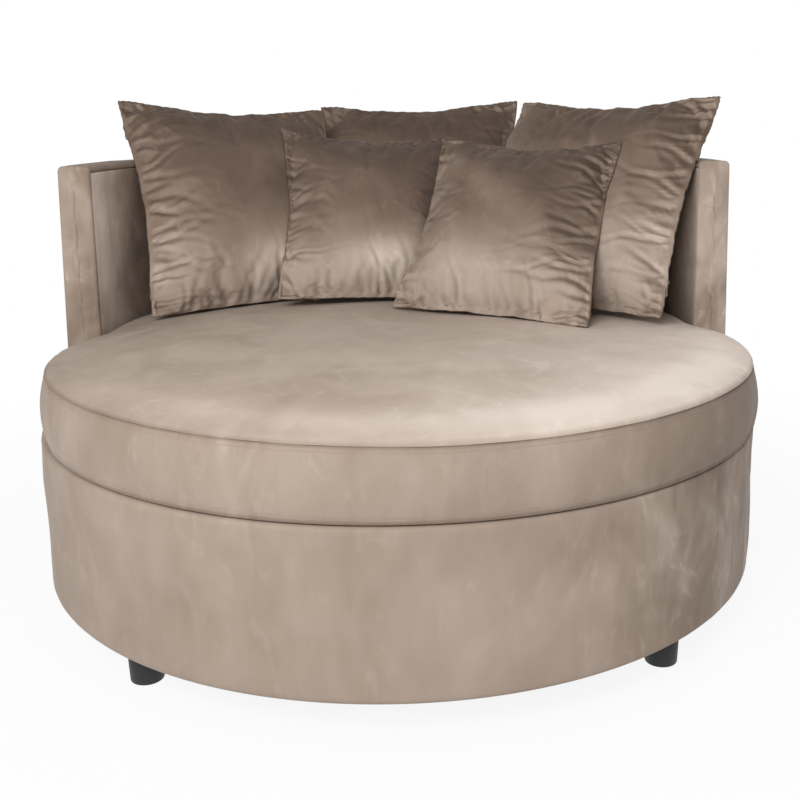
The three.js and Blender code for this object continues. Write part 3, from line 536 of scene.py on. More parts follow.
wall = {
    "innerRadius": 0.573, "outerRadius": 0.6415, "topInset": 0.008, "bottom": 0.3236, "top": 0.768,
    "halfAngle": 86.0, "endThickness": 0.0092, "topRound": 0.009, "capDepth": 0.013,
    "cloth": 0.0016, "seamRound": 0.0035, "endCrown": 0.004, "backSeam": (0.0012, 0.0022),
    "waves": ((0.0007, 0.13), (0.0004, 0.045)), "endWave": (0.0005, 0.05),
    "stepUp": 0.010, "stepAlong": 0.0078, "endStep": 0.004,
}


# How far a cover rolls in near a side where it is sewn, so that two panels meet in a crease: a
# quarter round of the given radius. Off is the distance from that side.
def rollIn(off, radius):
    near = np.clip(1 - off / radius, 0, 1)
    return radius * (1 - np.sqrt(np.maximum(0, 1 - near ** 2)))


# Distances along a row of positions that crowd towards its two ends, where the edges roll.
def crowded(length, middleStep, edge, edgeSteps=6):
    ends = edge * (1 - np.cos(np.linspace(0, np.pi / 2, edgeSteps)))
    middle = np.linspace(edge, length - edge, max(2, int((length - 2 * edge) / middleStep)))
    return np.concatenate([ends[:-1], middle, length - ends[:-1][::-1]])


# A panel of the wall: its profile is carried round the wall from one end panel to the other,
# with soft unevenness, and rolls in at its four sides. Its levels are its colour level along the
# middle, which holds painted shade on the inner face, the painted light added near both ends, and
# the painted light added near the left one.
def wallPanel(name, profile, node, look, levelsAndPaintedLight, crush, seed, seamAtBack=False):
    run = runLength(profile)
    at = crowded(run[-1], look["stepUp"], look["seamRound"])
    radius, z = readAt(at, run, profile).T[:, None, :]
    slope = unit(np.stack([np.gradient(radius[0], at), np.gradient(z[0], at)], -1))
    outR, outZ = slope[None, :, 1], -slope[None, :, 0]
    reach = math.radians(look["halfAngle"]) - look["endThickness"] / look["innerRadius"]
    meanRadius = float(radius.mean())
    along = crowded(2 * reach * meanRadius, look["stepAlong"], look["seamRound"])
    angle = (along / meanRadius - reach)[:, None]
    points = polar(radius, angle, z + 0 * angle)
    outward = polar(outR, angle, outZ + 0 * angle)
    off = np.minimum(np.minimum(along, along[-1] - along)[:, None], np.minimum(at, at[-1] - at))
    swell = sum(ripple(along[:, None], at[None, :], wave, seed + k) for k, wave in enumerate(look["waves"]))
    swell = swell * ease(off, 0.0, 0.05)
    if seamAtBack:
        depth, width = look["backSeam"]
        swell = swell - depth * bell(angle * meanRadius, width)
    points = points + outward * swell[..., None] - outward * rollIn(off, look["seamRound"])[..., None]
    toneAndPaintedLight, paintedLightAtEnds, paintedLightAtLeft = levelsAndPaintedLight
    toneAndPaintedLight = toneAndPaintedLight + paintedLightAtEnds * ease(np.abs(angle), 1.2, 1.45) + paintedLightAtLeft * ease(-angle, 1.0, 1.35) + 0 * swell
    values = {"toneAndPaintedLight": toneAndPaintedLight.ravel(), "crush": crush}
    piece = makePiece("wall" + name, points, gridFaces(len(along), len(at)), None, values, velvet)
    thicken(piece, look["cloth"])
    settle(piece, [f"back_{node}_cover", f"back_{node}_foam"])


# The outer face leans in towards its top.
def wallRadius(z, look):
    return look["outerRadius"] - look["topInset"] * (z - look["bottom"]) / (look["top"] - look["bottom"])


# The wall's panels: inside, outside, a top that rounds over into both, and the two ends.
def makeWall(look):
    seam = look["top"] - look["capDepth"]
    inner, bottom, r = look["innerRadius"], look["bottom"], look["topRound"]
    topRadius, topMiddle = wallRadius(look["top"], look), look["top"] - r
    inside = np.array([(inner, seam), (inner, bottom)])
    outside = np.array([(wallRadius(bottom, look), bottom), (wallRadius(seam, look), seam)])
    cap = np.concatenate([outside[1:], arc((topRadius - r, topMiddle), r, 0, 90, 8),
                          arc((inner + r, topMiddle), r, 90, 180, 8), inside[:1]])
    # The inner face is set darker than the outer one as painted shade, and lighter near its ends as painted
    # light.
    wallPanel("Inside", inside, "inner", look, (0.30, 0.30, 0.34), 0.45, 21)
    wallPanel("Outside", outside, "outer", look, (0.60, 0, 0), 0.3, 31, True)
    wallPanel("Top", cap, "top", look, (0.42, 0, 0), 0.25, 41)
    for side, sign in (("left", -1), ("right", 1)):
        makeWallEnd(side, sign, look)


# The panel that closes one end of the wall: its outline, drawn in step by step towards its
# own middle line, stands proud by a low crown and rolls in at its edge.
def makeWallEnd(side, sign, look):
    r, bottom, top = look["topRound"], look["bottom"], look["top"]
    inner, outerTop = look["innerRadius"], wallRadius(top, look)
    outline = np.concatenate([
        [(inner, bottom), (look["outerRadius"], bottom)],
        arc((outerTop - r, top - r), r, 0, 90, 7), arc((inner + r, top - r), r, 90, 180, 7)])
    outline = evened(np.concatenate([outline, outline[:1]]), look["endStep"])[:-1]
    middleRadius = (inner + (look["outerRadius"] + outerTop) / 2) / 2
    half = (outerTop - inner) / 2
    core = np.stack([middleRadius + 0 * outline[:, 1], np.clip(outline[:, 1], bottom + half, top - half)], -1)
    shares = np.concatenate([[0, 0.01, 0.035, 0.07, 0.11], np.linspace(0.18, 0.96, 9)])[:, None]
    flat = outline[None] * (1 - shares[..., None]) + core[None] * shares[..., None]
    radius, z = flat[..., 0], flat[..., 1]
    off = shares * half
    crown = look["endCrown"] * np.sqrt(np.clip(1 - (1 - shares) ** 2, 0, 1))
    proud = crown - look["endCrown"] - rollIn(off, look["seamRound"])
    proud = proud + ripple(radius, z, look["endWave"], 51 + sign) * ease(off, 0, 0.01)
    angle = sign * math.radians(look["halfAngle"])
    along = np.array([math.sin(angle), math.cos(angle), 0])            # outwards along the panel
    out = sign * np.array([math.cos(angle), -math.sin(angle), 0])      # out of its face, to the front
    up = np.array([0, 0, 1])
    points = radius[..., None] * along + z[..., None] * up + proud[..., None] * out
    back = outline[:, 0, None] * along + outline[:, 1, None] * up - look["endThickness"] * 0.9 * out
    rows, count = points.shape[:2]
    allPoints = np.concatenate([back, points.reshape(-1, 3), [back.mean(0), points[-1].mean(0)]])
    quads = gridFaces(rows + 1, count, False, True)
    ring = np.arange(count)
    fans = np.concatenate([fanFaces(len(allPoints) - 2, ring, True),
                           fanFaces(len(allPoints) - 1, rows * count + ring)])
    if sign < 0:
        quads, fans = quads[:, ::-1], fans[:, ::-1]
    height = allPoints[:, 2]
    # Its colour level: lighter low down, darker near its top, and a little lighter on the right end than on
    # the left.
    toneAndPaintedLight = 0.55 + 0.05 * ease(-height, -0.62, -0.42) - 0.05 * ease(height, 0.68, 0.768) + 0.02 * sign
    values = {"toneAndPaintedLight": toneAndPaintedLight, "crush": 0.72 + 0.1 * sign}
    piece = makePiece("wallEnd_" + side, allPoints, quads, fans, values, velvet)
    settle(piece, ["back_end_cover_" + side, "back_end_foam_" + side])


makeWall(wall)
print("back wall made")


# The turns bound the two ears, in degrees from the middle of the back.
seat = {
    "radius": 0.6445, "backRadius": 0.5595, "turnIn": 86.5, "turnOut": 87.7, "earAngle": 34.0,
    "earDepth": 0.048, "cornerBlur": 0.013, "reachBlur": 0.040, "aside": 0.004,
    "seamHeight": 0.436, "crown": 0.045, "domePower": 0.5, "tuck": 0.0019,
    "bottom": 0.3263, "bulge": 0.0105, "pinch": 0.0025, "stations": 420,
    "bandWave": (0.0005, 0.09), "topWave": (0.0012, 0.34),     # heights and wavelengths
    "bandPuckers": {"count": 150, "width": 0.006, "reach": 0.018, "depth": 0.0009},
    "topPuckers": {"count": 150, "width": 0.007, "reach": 0.03, "depth": 0.0010},
    "stitchPitch": 0.0062, "stitchProud": 0.0004,
    "stitchShares": {"seatUpperStitches": 0.915, "seatLowerStitches": 0.085},
}


# The seat's dome: the seam's height, and a crown that falls off with the share of the way from
# the middle to its reach, first slowly and then steeply at the rim.
def domeHeight(share, look):
    return look["seamHeight"] + look["crown"] * np.maximum(0, 1 - share ** 2) ** look["domePower"]


# How far the dome reaches at an angle from the middle of the back: the seat's radius, drawn in
# along a quarter ellipse on both sides of the two ears.
def seatReach(turn, look):
    turnIn, turnOut = math.radians(look["turnIn"]), math.radians(look["turnOut"])
    fromEar = np.maximum(np.maximum(turn - turnOut, turnIn - turn), 0)
    share = np.maximum(0, 1 - fromEar / math.radians(look["earAngle"]))
    return look["radius"] - look["earDepth"] * (1 - np.sqrt(1 - share ** 2))


# Blurs each column of a closed row of even points by a bell-shaped weight.
def blurred(columns, width, spacing):
    count = len(columns)
    away = np.minimum(np.arange(count), count - np.arange(count)) * spacing
    weights = np.exp(-0.5 * (away / width) ** 2)
    pull = np.fft.rfft(weights / weights.sum())[:, None]
    return np.fft.irfft(np.fft.rfft(columns, axis=0) * pull, count, axis=0)


# The seat's plan: a wide round in front that draws in at the two ears, and a narrower one
# between the ends of the wall, with the corners blurred round. It gives evenly spaced points,
# the way out at each, and how far the dome reaches there.
def seatPlan(look):
    turnIn, turnOut = math.radians(look["turnIn"]), math.radians(look["turnOut"])
    back = np.linspace(-turnIn, turnIn, 700)
    front = np.linspace(turnOut, 2 * np.pi - turnOut, 1400)
    reach = seatReach(np.minimum(front, 2 * np.pi - front), look)
    spacing = 0.001
    inner = polar(look["backRadius"], back, seatReach(np.abs(back), look))
    outer = polar(reach, front, reach) + [look["aside"], 0, 0]
    fine = evened(np.concatenate([inner, outer, inner[:1]]), spacing)[:-1]
    soft = np.concatenate([blurred(fine[:, :2], look["cornerBlur"], spacing),
                           blurred(fine[:, 2:], look["reachBlur"], spacing)], -1)
    plan = evened(np.concatenate([soft, soft[:1]]), spacing)[:-1]
    pick = (np.arange(look["stations"]) * len(plan) / look["stations"]).astype(int)
    ahead = np.roll(plan, -6, 0) - np.roll(plan, 6, 0)
    out = unit(np.stack([ahead[:, 1], -ahead[:, 0]], -1))
    out *= np.sign((out * plan[:, :2]).sum(-1).mean())
    edge = np.linalg.norm(plan[:, :2], axis=-1)
    return plan[pick, :2], out[pick], np.minimum(1, edge / plan[:, 2])[pick]


# How far the band stands out of the plan: most half-way up, and drawn in at both seams, the
# upper one more. Share is 0 at the lower seam and 1 at the upper one.
def bandSwell(share, look):
    return (look["bulge"] + look["pinch"]) * np.sin(np.pi * (0.12 + 0.88 * share)) ** 0.8 - look["pinch"]


# One level of the band: its swell with soft unevenness and the seams' puckers.
def bandPoint(share, plan, out, rimShare, look):
    rim = domeHeight(rimShare, look) - look["tuck"]
    bottom = look["bottom"] + look["tuck"]
    run = np.arange(len(plan)) / len(plan) * 2 * np.pi * look["radius"]
    height = rim.mean() - bottom
    swell = bandSwell(share, look) + ripple(run, np.full(len(run), share * height), look["bandWave"], 61)
    off = np.full(len(run), min(share, 1 - share) * height)
    swell = swell + gathers(run, off, (0, run[-1]), look["bandPuckers"], 62 if share > 0.5 else 63)
    flat = plan + out * swell[:, None]
    return np.concatenate([flat, (bottom + (rim - bottom) * share)[:, None]], -1)


# Soft unevenness of the seat's top.
def seatLump(x, y, look):
    return ripple(x, y, look["topWave"], 64)


seatPlanPoints, seatPlanOut, seatRimShare = seatPlan(seat)


# The seat cushion: closed rings of points, each a share of its plan, from the middle of the
# underside out to its rim, up the band and over the dome to the middle of the top.
def makeSeat(look):
    plan, out = seatPlanPoints, seatPlanOut
    count = look["stations"]
    radius = np.linalg.norm(plan, axis=-1)
    run = np.arange(count) / count * 2 * np.pi * look["radius"]
    rows, toneAndPaintedLightRows = [], []
    for share in (0.02, 0.3, 0.6, 0.85, 0.96, 0.99, 1.0):
        flat = plan * share + out * bandSwell(0, look) * share ** 8
        rows.append(np.concatenate([flat, np.full((count, 1), look["bottom"])], -1))
        toneAndPaintedLightRows.append(np.full(count, 0.5))
    right = plan[:, 0] / look["radius"]
    for share in 0.5 - 0.5 * np.cos(np.linspace(0.06, 0.94, 22) * np.pi):
        rows.append(bandPoint(share, plan, out, seatRimShare, look))
        # Painted shade: the band darkens in the creases along both seams and towards its right side.
        seam = 0.16 * bell(min(share, 1 - share), 0.035)
        toneAndPaintedLightRows.append(0.575 - seam - 0.09 * ease(right, 0.35, 0.7) - 0.13 * ease(right, 0.7, 1.0))
    for share in 1 - 0.985 * (1 - np.cos(np.linspace(0, np.pi / 2, 46))) ** 1.15:
        flat = plan * share
        edge = radius - radius * share
        z = domeHeight(seatRimShare * share, look) - look["tuck"] * bell(edge, 0.004)
        lump = seatLump(flat[:, 0], flat[:, 1], look) * ease(edge, 0.0, 0.08)
        pucker = gathers(run, edge, (0, run[-1]), look["topPuckers"], 65) * ease(share, 0.5, 0.8)
        rows.append(np.concatenate([flat, (z + lump + pucker)[:, None]], -1))
        front, right = -flat[:, 1] / look["radius"], flat[:, 0] / look["radius"]
        # Painted light and shade on the top: darker at the back and the far left, a painted pool of light
        # towards the front right, a painted highlight just inside the front rim, and painted shade in the
        # seam's crease.
        tone = 0.50 + 0.06 * ease(right, -0.8, -0.2) + 0.11 * ease(front, -0.5, 0.5)
        tone = tone + 0.19 * ease(0.35 * front + right, -0.1, 0.9)
        tone = tone + 0.13 * bell(edge - 0.055, 0.045) * ease(front + 0.3 * right, 0.1, 0.7)
        toneAndPaintedLightRows.append(tone - 0.14 * bell(edge, 0.004))
    points, toneAndPaintedLight = np.array(rows), np.array(toneAndPaintedLightRows)
    total, ring = len(points), np.arange(count)
    middles = [(0, 0, look["bottom"]), points[-1].mean(0)]
    quads = gridFaces(total, count, False, True)[:, ::-1]
    fans = np.concatenate([fanFaces(total * count, ring),
                           fanFaces(total * count + 1, (total - 1) * count + ring, True)])
    values = {"toneAndPaintedLight": np.concatenate([toneAndPaintedLight.ravel(), [0.5, toneAndPaintedLight[-1].mean()]]), "crush": 0.12}
    allPoints = np.concatenate([points.reshape(-1, 3), middles])
    piece = makePiece("seatCushion", allPoints, quads, fans, values, velvet)
    nodes = ["seat_top_panel", "seat_side_band", "seat_bottom_panel", "seat_foam_core"]
    settle(piece, nodes, "seat_cushion")


makeSeat(seat)
print("seat cushion made")


# A row of stitches along a closed path: each is a small bead of four rings, lying along it.
def makeStitches(name, path, outward, look):
    path = np.concatenate([path, path[:1]])
    run = runLength(path)
    count = int(run[-1] / look["stitchPitch"])
    at = (np.arange(count) + 0.5) * run[-1] / count
    centre = readAt(at, run, path)
    up = unit(readAt(at, run, np.concatenate([outward, outward[:1]])))
    ahead = unit(np.roll(centre, -1, 0) - np.roll(centre, 1, 0))
    side = np.cross(ahead, up)
    rings = np.array([(-0.0022, 0.0001), (-0.0014, 0.0005), (0.0014, 0.0005), (0.0022, 0.0001)])
    turn = np.arange(6)[:, None] / 6 * 2 * np.pi
    centre, up, ahead, side = (v[:, None, None] for v in (centre, up, ahead, side))
    beads = (centre + ahead * rings[:, 0, None, None]
             + rings[:, 1, None, None] * (side * np.cos(turn) + up * np.sin(turn)))
    ends = [[0, 1, 2, 3], [0, 3, 4, 5], [21, 20, 19, 18], [23, 22, 21, 18]]
    faces = np.concatenate([gridFaces(4, 6, False, True)[:, ::-1], ends])
    faces = faces + (np.arange(count) * 24)[:, None, None]
    settle(makePiece(name, beads, faces, None, None, thread), body="seat_cushion")


outward = np.concatenate([seatPlanOut, np.zeros((len(seatPlanOut), 1))], -1)
for stitchName, share in seat["stitchShares"].items():
    path = bandPoint(share, seatPlanPoints, seatPlanOut, seatRimShare, seat)
    makeStitches(stitchName, path + outward * seat["stitchProud"], outward, seat)


wallIn = wall["innerRadius"]
large, small = wallIn * 0.7728, wallIn * 0.6658
cushionLook = {
    "rim": 0.002, "cells": 112, "sideDraw": 0.042, "topDraw": 0.045, "bottomDraw": 0.012, "cornerPower": 1.7,
    "sag": 0.12, "round": 2.2, "power": 0.62, "fullPower": 0.52, "start": 0.92, "slack": 0.045, "cap": 0.024,
    "space": 0.0012, "wallSpace": 0.0042, "cushionSpace": 0.0015,
    "mapSize": 0.60, "mapCell": 0.004, "mapDepth": 0.035,
    "seamWave": (0.0020, 0.055), "lump": (0.0018, 0.16),     # heights and wavelengths
    "tuckDepth": 0.0011, "tuckCount": 96,
}
# Each cushion's side, place and turns in degrees; its crown at front and back, and the pull on
# each corner from the lower left round, as shares of its side; where its fullest part shifts to;
# how strongly each side is gathered; its seed and tone; a painted highlight spot, by its place,
# width, height and lightness; and how much its left and right sides draw in.
cushions = {
    "large_left": {
        "side": large, "right": -0.5724 * wallIn, "behind": 0.4934 * wallIn,
        "turn": 29.1, "lean": 22.8, "tip": -1.4, "front": 0.1445, "back": 0.0994, "shift": 0.3,
        "pull": [(0, -0.006), (0, 0.026), (0.006, -0.026), (-0.005, 0.007)],
        "gather": {"left": 1.0, "right": 0.3, "top": 0.3, "bottom": 0.5},
        "seed": 101, "tone": 0.02, "paintedHighlight": (0.45, -0.60, 0.60, 0.26, 0.28), "sideDraws": (1, 1),
    },
    "large_middle": {
        "side": large, "right": 0.0846 * wallIn, "behind": 0.8205 * wallIn,
        "turn": -2.5, "lean": 24.0, "tip": 1.0, "front": 0.1129, "back": 0.0994, "shift": 0.0,
        "pull": [(-0.006, 0.007), (0.006, -0.003), (0.012, 0.003), (-0.011, -0.008)],
        "gather": {"left": 0.4, "right": 0.4, "top": 0.3, "bottom": 0.3},
        "seed": 102, "tone": 0.04, "paintedHighlight": (0.0, -0.6, 0.5, 0.2, 0.1), "sideDraws": (1, 1.5),
    },
    "large_right": {
        "side": large, "right": 0.6684 * wallIn, "behind": 0.2902 * wallIn,
        "turn": -41.5, "lean": 24.9, "tip": 0.3, "front": 0.1355, "back": 0.0994, "shift": -0.1,
        "pull": [(0, -0.004), (-0.013, 0.002), (0.021, 0.011), (-0.008, -0.009)],
        "gather": {"left": 0.3, "right": 1.0, "top": 0.25, "bottom": 0.4},
        "seed": 103, "tone": 0.10, "paintedHighlight": (0.80, -0.35, 0.3, 0.45, 0.14), "sideDraws": (-2.0, 1),
    },
    "small_left": {
        "side": small, "right": -0.1073 * wallIn, "behind": 0.4750 * wallIn,
        "turn": 7.6, "lean": 31.3, "tip": -3.0, "front": 0.1363, "back": 0.0891, "shift": -0.1,
        "pull": [(0.003, 0.001), (0, 0.006), (0, -0.008), (-0.003, 0.001)],
        "gather": {"left": 0.5, "right": 0.3, "top": 0.3, "bottom": 0.4},
        "seed": 104, "tone": 0.0, "paintedHighlight": (0.1, -0.60, 0.5, 0.22, 0.25), "sideDraws": (1, 1),
    },
    "small_right": {
        "side": small, "right": 0.3752 * wallIn, "behind": 0.1653 * wallIn,
        "turn": -23.8, "lean": 34.0, "tip": -2.6, "front": 0.1363, "back": 0.0996, "shift": 0.0,
        "pull": [(-0.024, -0.004), (0.011, 0), (0.006, 0.012), (0.007, -0.008)],
        "gather": {"left": 0.35, "right": 0.9, "top": 0.3, "bottom": 0.5},
        "seed": 105, "tone": 0.04, "paintedHighlight": (-0.3, -0.55, 0.45, 0.25, 0.07), "sideDraws": (1, 1),
    },
}


# Where a cushion's points lie on its own face, before its crown: a square whose four sides
# draw in between the corners, with each corner pulled a little. The draw falls from the middle
# of a side to its corners as a power of one less the square of the way along it.
def cushionFlat(a, b, cushion, look, power=1.0):
    side, half = cushion["side"], cushion["side"] / 2
    draw = look["sideDraw"] * np.where(a < 0, *cushion["sideDraws"])
    rise = np.where(b > 0, look["topDraw"], look["bottomDraw"])
    x = a * (half - side * draw * np.maximum(0, 1 - b * b) ** power)
    y = b * (half - side * rise * np.maximum(0, 1 - a * a) ** power)
    for (ca, cb), (px, py) in zip(((-1, -1), (1, -1), (1, 1), (-1, 1)), cushion["pull"]):
        weight = (1 + ca * a) * (1 + cb * b) / 4
        x = x + weight * side * px
        y = y + weight * side * py
    return x, y


# How high a cushion's face stands over its seam: nothing at the four sides and most in its
# middle, with the fullest part a little low, and aside where a neighbour presses on it.
def cushionCrown(a, b, cushion, look, towards, power):
    crown = cushion["side"] * (cushion["front"] if towards > 0 else cushion["back"])
    across = 1 - np.abs(a + cushion["shift"] * (1 - a * a)) ** look["round"]
    along = 1 - np.abs(b + look["sag"] * (1 - b * b)) ** look["round"]
    return crown * (np.maximum(0, across) * np.maximum(0, along)) ** power


# A cushion's own axes: to its right, up its face and out of its front.
def cushionAxes(cushion):
    turn, lean, tip = (math.radians(cushion[k]) for k in ("turn", "lean", "tip"))
    u = np.array([math.cos(turn), math.sin(turn), 0])
    v = np.array([-math.sin(lean) * math.sin(turn), math.sin(lean) * math.cos(turn), math.cos(lean)])
    n = np.cross(u, v)
    return np.stack([u * math.cos(tip) + v * math.sin(tip), v * math.cos(tip) - u * math.sin(tip), n])


# Where a cushion stands. Its height comes from the lowest point of its packed cover.
def cushionPlace(name, cushion, look):
    line = np.sin(np.pi / 2 * (2 * np.arange(10) / 9 - 1))
    a, b = np.meshgrid(line, line)
    x, y = cushionFlat(a, b, cushion, look)
    faces = np.stack([
        np.stack([x, y, side * (look["rim"] + cushionCrown(a, b, cushion, look, side, look["power"]))], -1)
        for side in (1, -1)])
    lowest = (faces @ cushionAxes(cushion))[..., 2].min()
    return np.array([cushion["right"], cushion["behind"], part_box("cushion_cover_" + name)[0].z - lowest])


# Two faces sewn at their borders: the faces' grids, and rows of points across the seam.
def sewnFaces(n, rimRows):
    first = gridFaces(n, n)
    second = first[:, ::-1] + n * n
    grid = np.arange(n * n).reshape(n, n)
    border = np.concatenate([grid[0, :-1], grid[:-1, -1], grid[-1, :0:-1], grid[:0:-1, 0]])
    count = len(border)
    rows = [border] + [2 * n * n + k * count + np.arange(count) for k in range(rimRows)] + [border + n * n]
    loops = np.array(rows)
    ahead = np.roll(loops, -1, 1)
    rim = np.stack([loops[:-1], loops[1:], ahead[1:], ahead[:-1]], -1).reshape(-1, 4)
    return np.concatenate([first, second, rim]), border


# A cushion's two faces before it is puffed up: its flat places and, for each face, its height
# over the seam's middle.
def cushionGrid(cushion, look):
    n = look["cells"] + 1
    even = 2 * np.arange(n) / (n - 1) - 1
    line = 0.45 * even + 0.55 * np.sin(np.pi / 2 * even)     # closer together towards the seams
    a, b = np.meshgrid(line, line)
    x, y = cushionFlat(a, b, cushion, look, look["cornerPower"])
    heights = [look["start"] * cushionCrown(a, b, cushion, look, side, look["fullPower"]) for side in (1, -1)]
    return {"a": a, "b": b, "x": x, "y": y, "heights": heights}


# A coarse copy of a cushion for the cloth solver: every second point of both faces, which
# share their border. The border is the seam, and it is held still.
def cushionJob(grid, look):
    x, y = grid["x"][::2, ::2], grid["y"][::2, ::2]
    n = len(x)
    front = np.arange(n * n).reshape(n, n)
    back = front.copy()
    back[1:-1, 1:-1] = n * n + np.arange((n - 2) ** 2).reshape(n - 2, n - 2)
    upper, lower = (h[::2, ::2] for h in grid["heights"])
    points = np.concatenate([np.stack([x, y, upper], -1).reshape(-1, 3),
                             np.stack([x, y, -lower], -1)[1:-1, 1:-1].reshape(-1, 3)])
    sheet = gridFaces(n, n)
    quads = np.concatenate([sheet, back.ravel()[sheet][:, ::-1]])
    sewn = np.zeros(len(points), bool)
    sewn[np.concatenate([front[0], front[-1], front[:, 0], front[:, -1]])] = True
    return {"points": points, "quads": quads, "sewn": sewn, "slack": look["slack"], "cap": look["cap"],
            "front": front, "back": back}


# Lets soft pieces swell and crease in Blender's cloth solver, all in one run, and gives back
# how far each point moved. Air presses them out, and cloth a little too large for them creases
# where it is sewn down.
def swollen(jobs, look):
    pieces = []
    for job in jobs:
        piece = makePiece("clothRun", job["points"], job["quads"])
        piece.vertex_groups.new(name="sewn").add(np.flatnonzero(job["sewn"]).tolist(), 1.0, "REPLACE")
        cloth = piece.modifiers.new("cloth", "CLOTH").settings
        cloth.quality = look["quality"]
        cloth.mass = look["mass"]
        cloth.tension_stiffness = look["tension"]
        cloth.compression_stiffness = look["tension"]
        cloth.shear_stiffness = look["shear"]
        cloth.bending_stiffness = look["bending"]
        cloth.use_pressure = True
        cloth.uniform_pressure_force = look["pressure"]
        cloth.shrink_min = -job["slack"]
        cloth.vertex_group_mass = "sewn"
        cloth.effector_weights.gravity = 0
        pieces.append(piece)
    for step in range(1, look["steps"] + 1):
        bpy.context.scene.frame_set(step)
    graph = bpy.context.evaluated_depsgraph_get()
    moves = []
    for piece, job in zip(pieces, jobs):
        mesh = piece.evaluated_get(graph).data
        after = np.empty(len(mesh.vertices) * 3, np.float32)
        mesh.vertices.foreach_get("co", after)
        move = after.reshape(-1, 3) - job["points"]
        far = np.linalg.norm(move, axis=-1, keepdims=True)
        moves.append(move * np.minimum(1, job["cap"] / np.maximum(far, 1e-9)))
        print("  swollen by up to", round(float(far.max()) * 1000, 1), "mm")
    for piece in pieces:
        bpy.data.objects.remove(piece)
    bpy.context.scene.frame_set(1)
    return moves


clothLook = {
    "pressure": 4.0, "steps": 20, "quality": 5, "mass": 0.3, "tension": 15.0, "shear": 5.0, "bending": 0.1,
}


# Twice as fine a grid: between each two points a new one, by the four-point rule.
def doubled(grid):
    for axis in (0, 1):
        grid = np.moveaxis(grid, axis, 0)
        wide = np.concatenate([2 * grid[:1] - grid[1:2], grid, 2 * grid[-1:] - grid[-2:-1]])
        middle = (9 * (wide[1:-2] + wide[2:-1]) - wide[:-3] - wide[3:]) / 16
        fine = np.empty((2 * len(grid) - 1, *grid.shape[1:]))
        fine[::2], fine[1::2] = grid, middle
        grid = np.moveaxis(fine, 0, axis)
    return grid


# Moves points off the wall: to its inside or over its top, whichever is nearer.
def clearOfWall(points, space):
    radius = np.hypot(points[:, 0], points[:, 1])
    inward = radius - (wall["innerRadius"] - space)
    upward = wall["top"] + space - points[:, 2]
    at = (inward > 0) & (upward > 0) & (points[:, 1] > 0.03)
    over = at & (upward < inward)
    points[over, 2] += upward[over]
    inside = at & ~over
    points[inside, :2] *= (1 - inward / np.maximum(radius, 1e-9))[inside, None]
    return points


# Lifts points off the seat's dome.
def clearOfSeat(points, space):
    x, y = points[:, 0], points[:, 1]
    reach = seatReach(np.abs(np.arctan2(x, y)), seat)
    top = domeHeight(np.hypot(x, y) / reach, seat) + seatLump(x, y, seat)
    points[:, 2] = np.maximum(points[:, 2], top + space)
    return points


# A map of how high a cushion's front face stands over its seam's plane: the highest point in
# each square cell, and then the highest of each cell's neighbours, so that it never reads low.
def heightMap(face, look):
    points = doubled(face).reshape(-1, 3)
    count = int(look["mapSize"] / look["mapCell"])
    at = np.clip(((points[:, :2] + look["mapSize"] / 2) / look["mapCell"]).astype(int), 0, count - 1)
    cells = np.full((count, count), -1.0)
    np.maximum.at(cells, (at[:, 0], at[:, 1]), points[:, 2])
    for axis in (0, 1):
        cells = np.maximum(cells, np.maximum(np.roll(cells, 1, axis), np.roll(cells, -1, axis)))
    return cells


# Moves points out of the front face of a cushion that stands behind them, along its own
# forward axis, by what they lack to its map's height.
def clearOfCushion(points, other, look, space):
    local = (points - other["place"]) @ other["axes"].T
    cells = other["map"]
    at = np.clip((local[:, :2] + look["mapSize"] / 2) / look["mapCell"] - 0.5, 0, len(cells) - 1.001)
    i, j = at.astype(int).T
    fi, fj = (at - at.astype(int)).T
    height = ((cells[i, j] * (1 - fj) + cells[i, j + 1] * fj) * (1 - fi)
              + (cells[i + 1, j] * (1 - fj) + cells[i + 1, j + 1] * fj) * fi)
    lack = height + space - local[:, 2]
    within = (height > 0) & (lack > 0) & (local[:, 2] > -look["mapDepth"])
    return points + (lack * within)[:, None] * other["axes"][2]


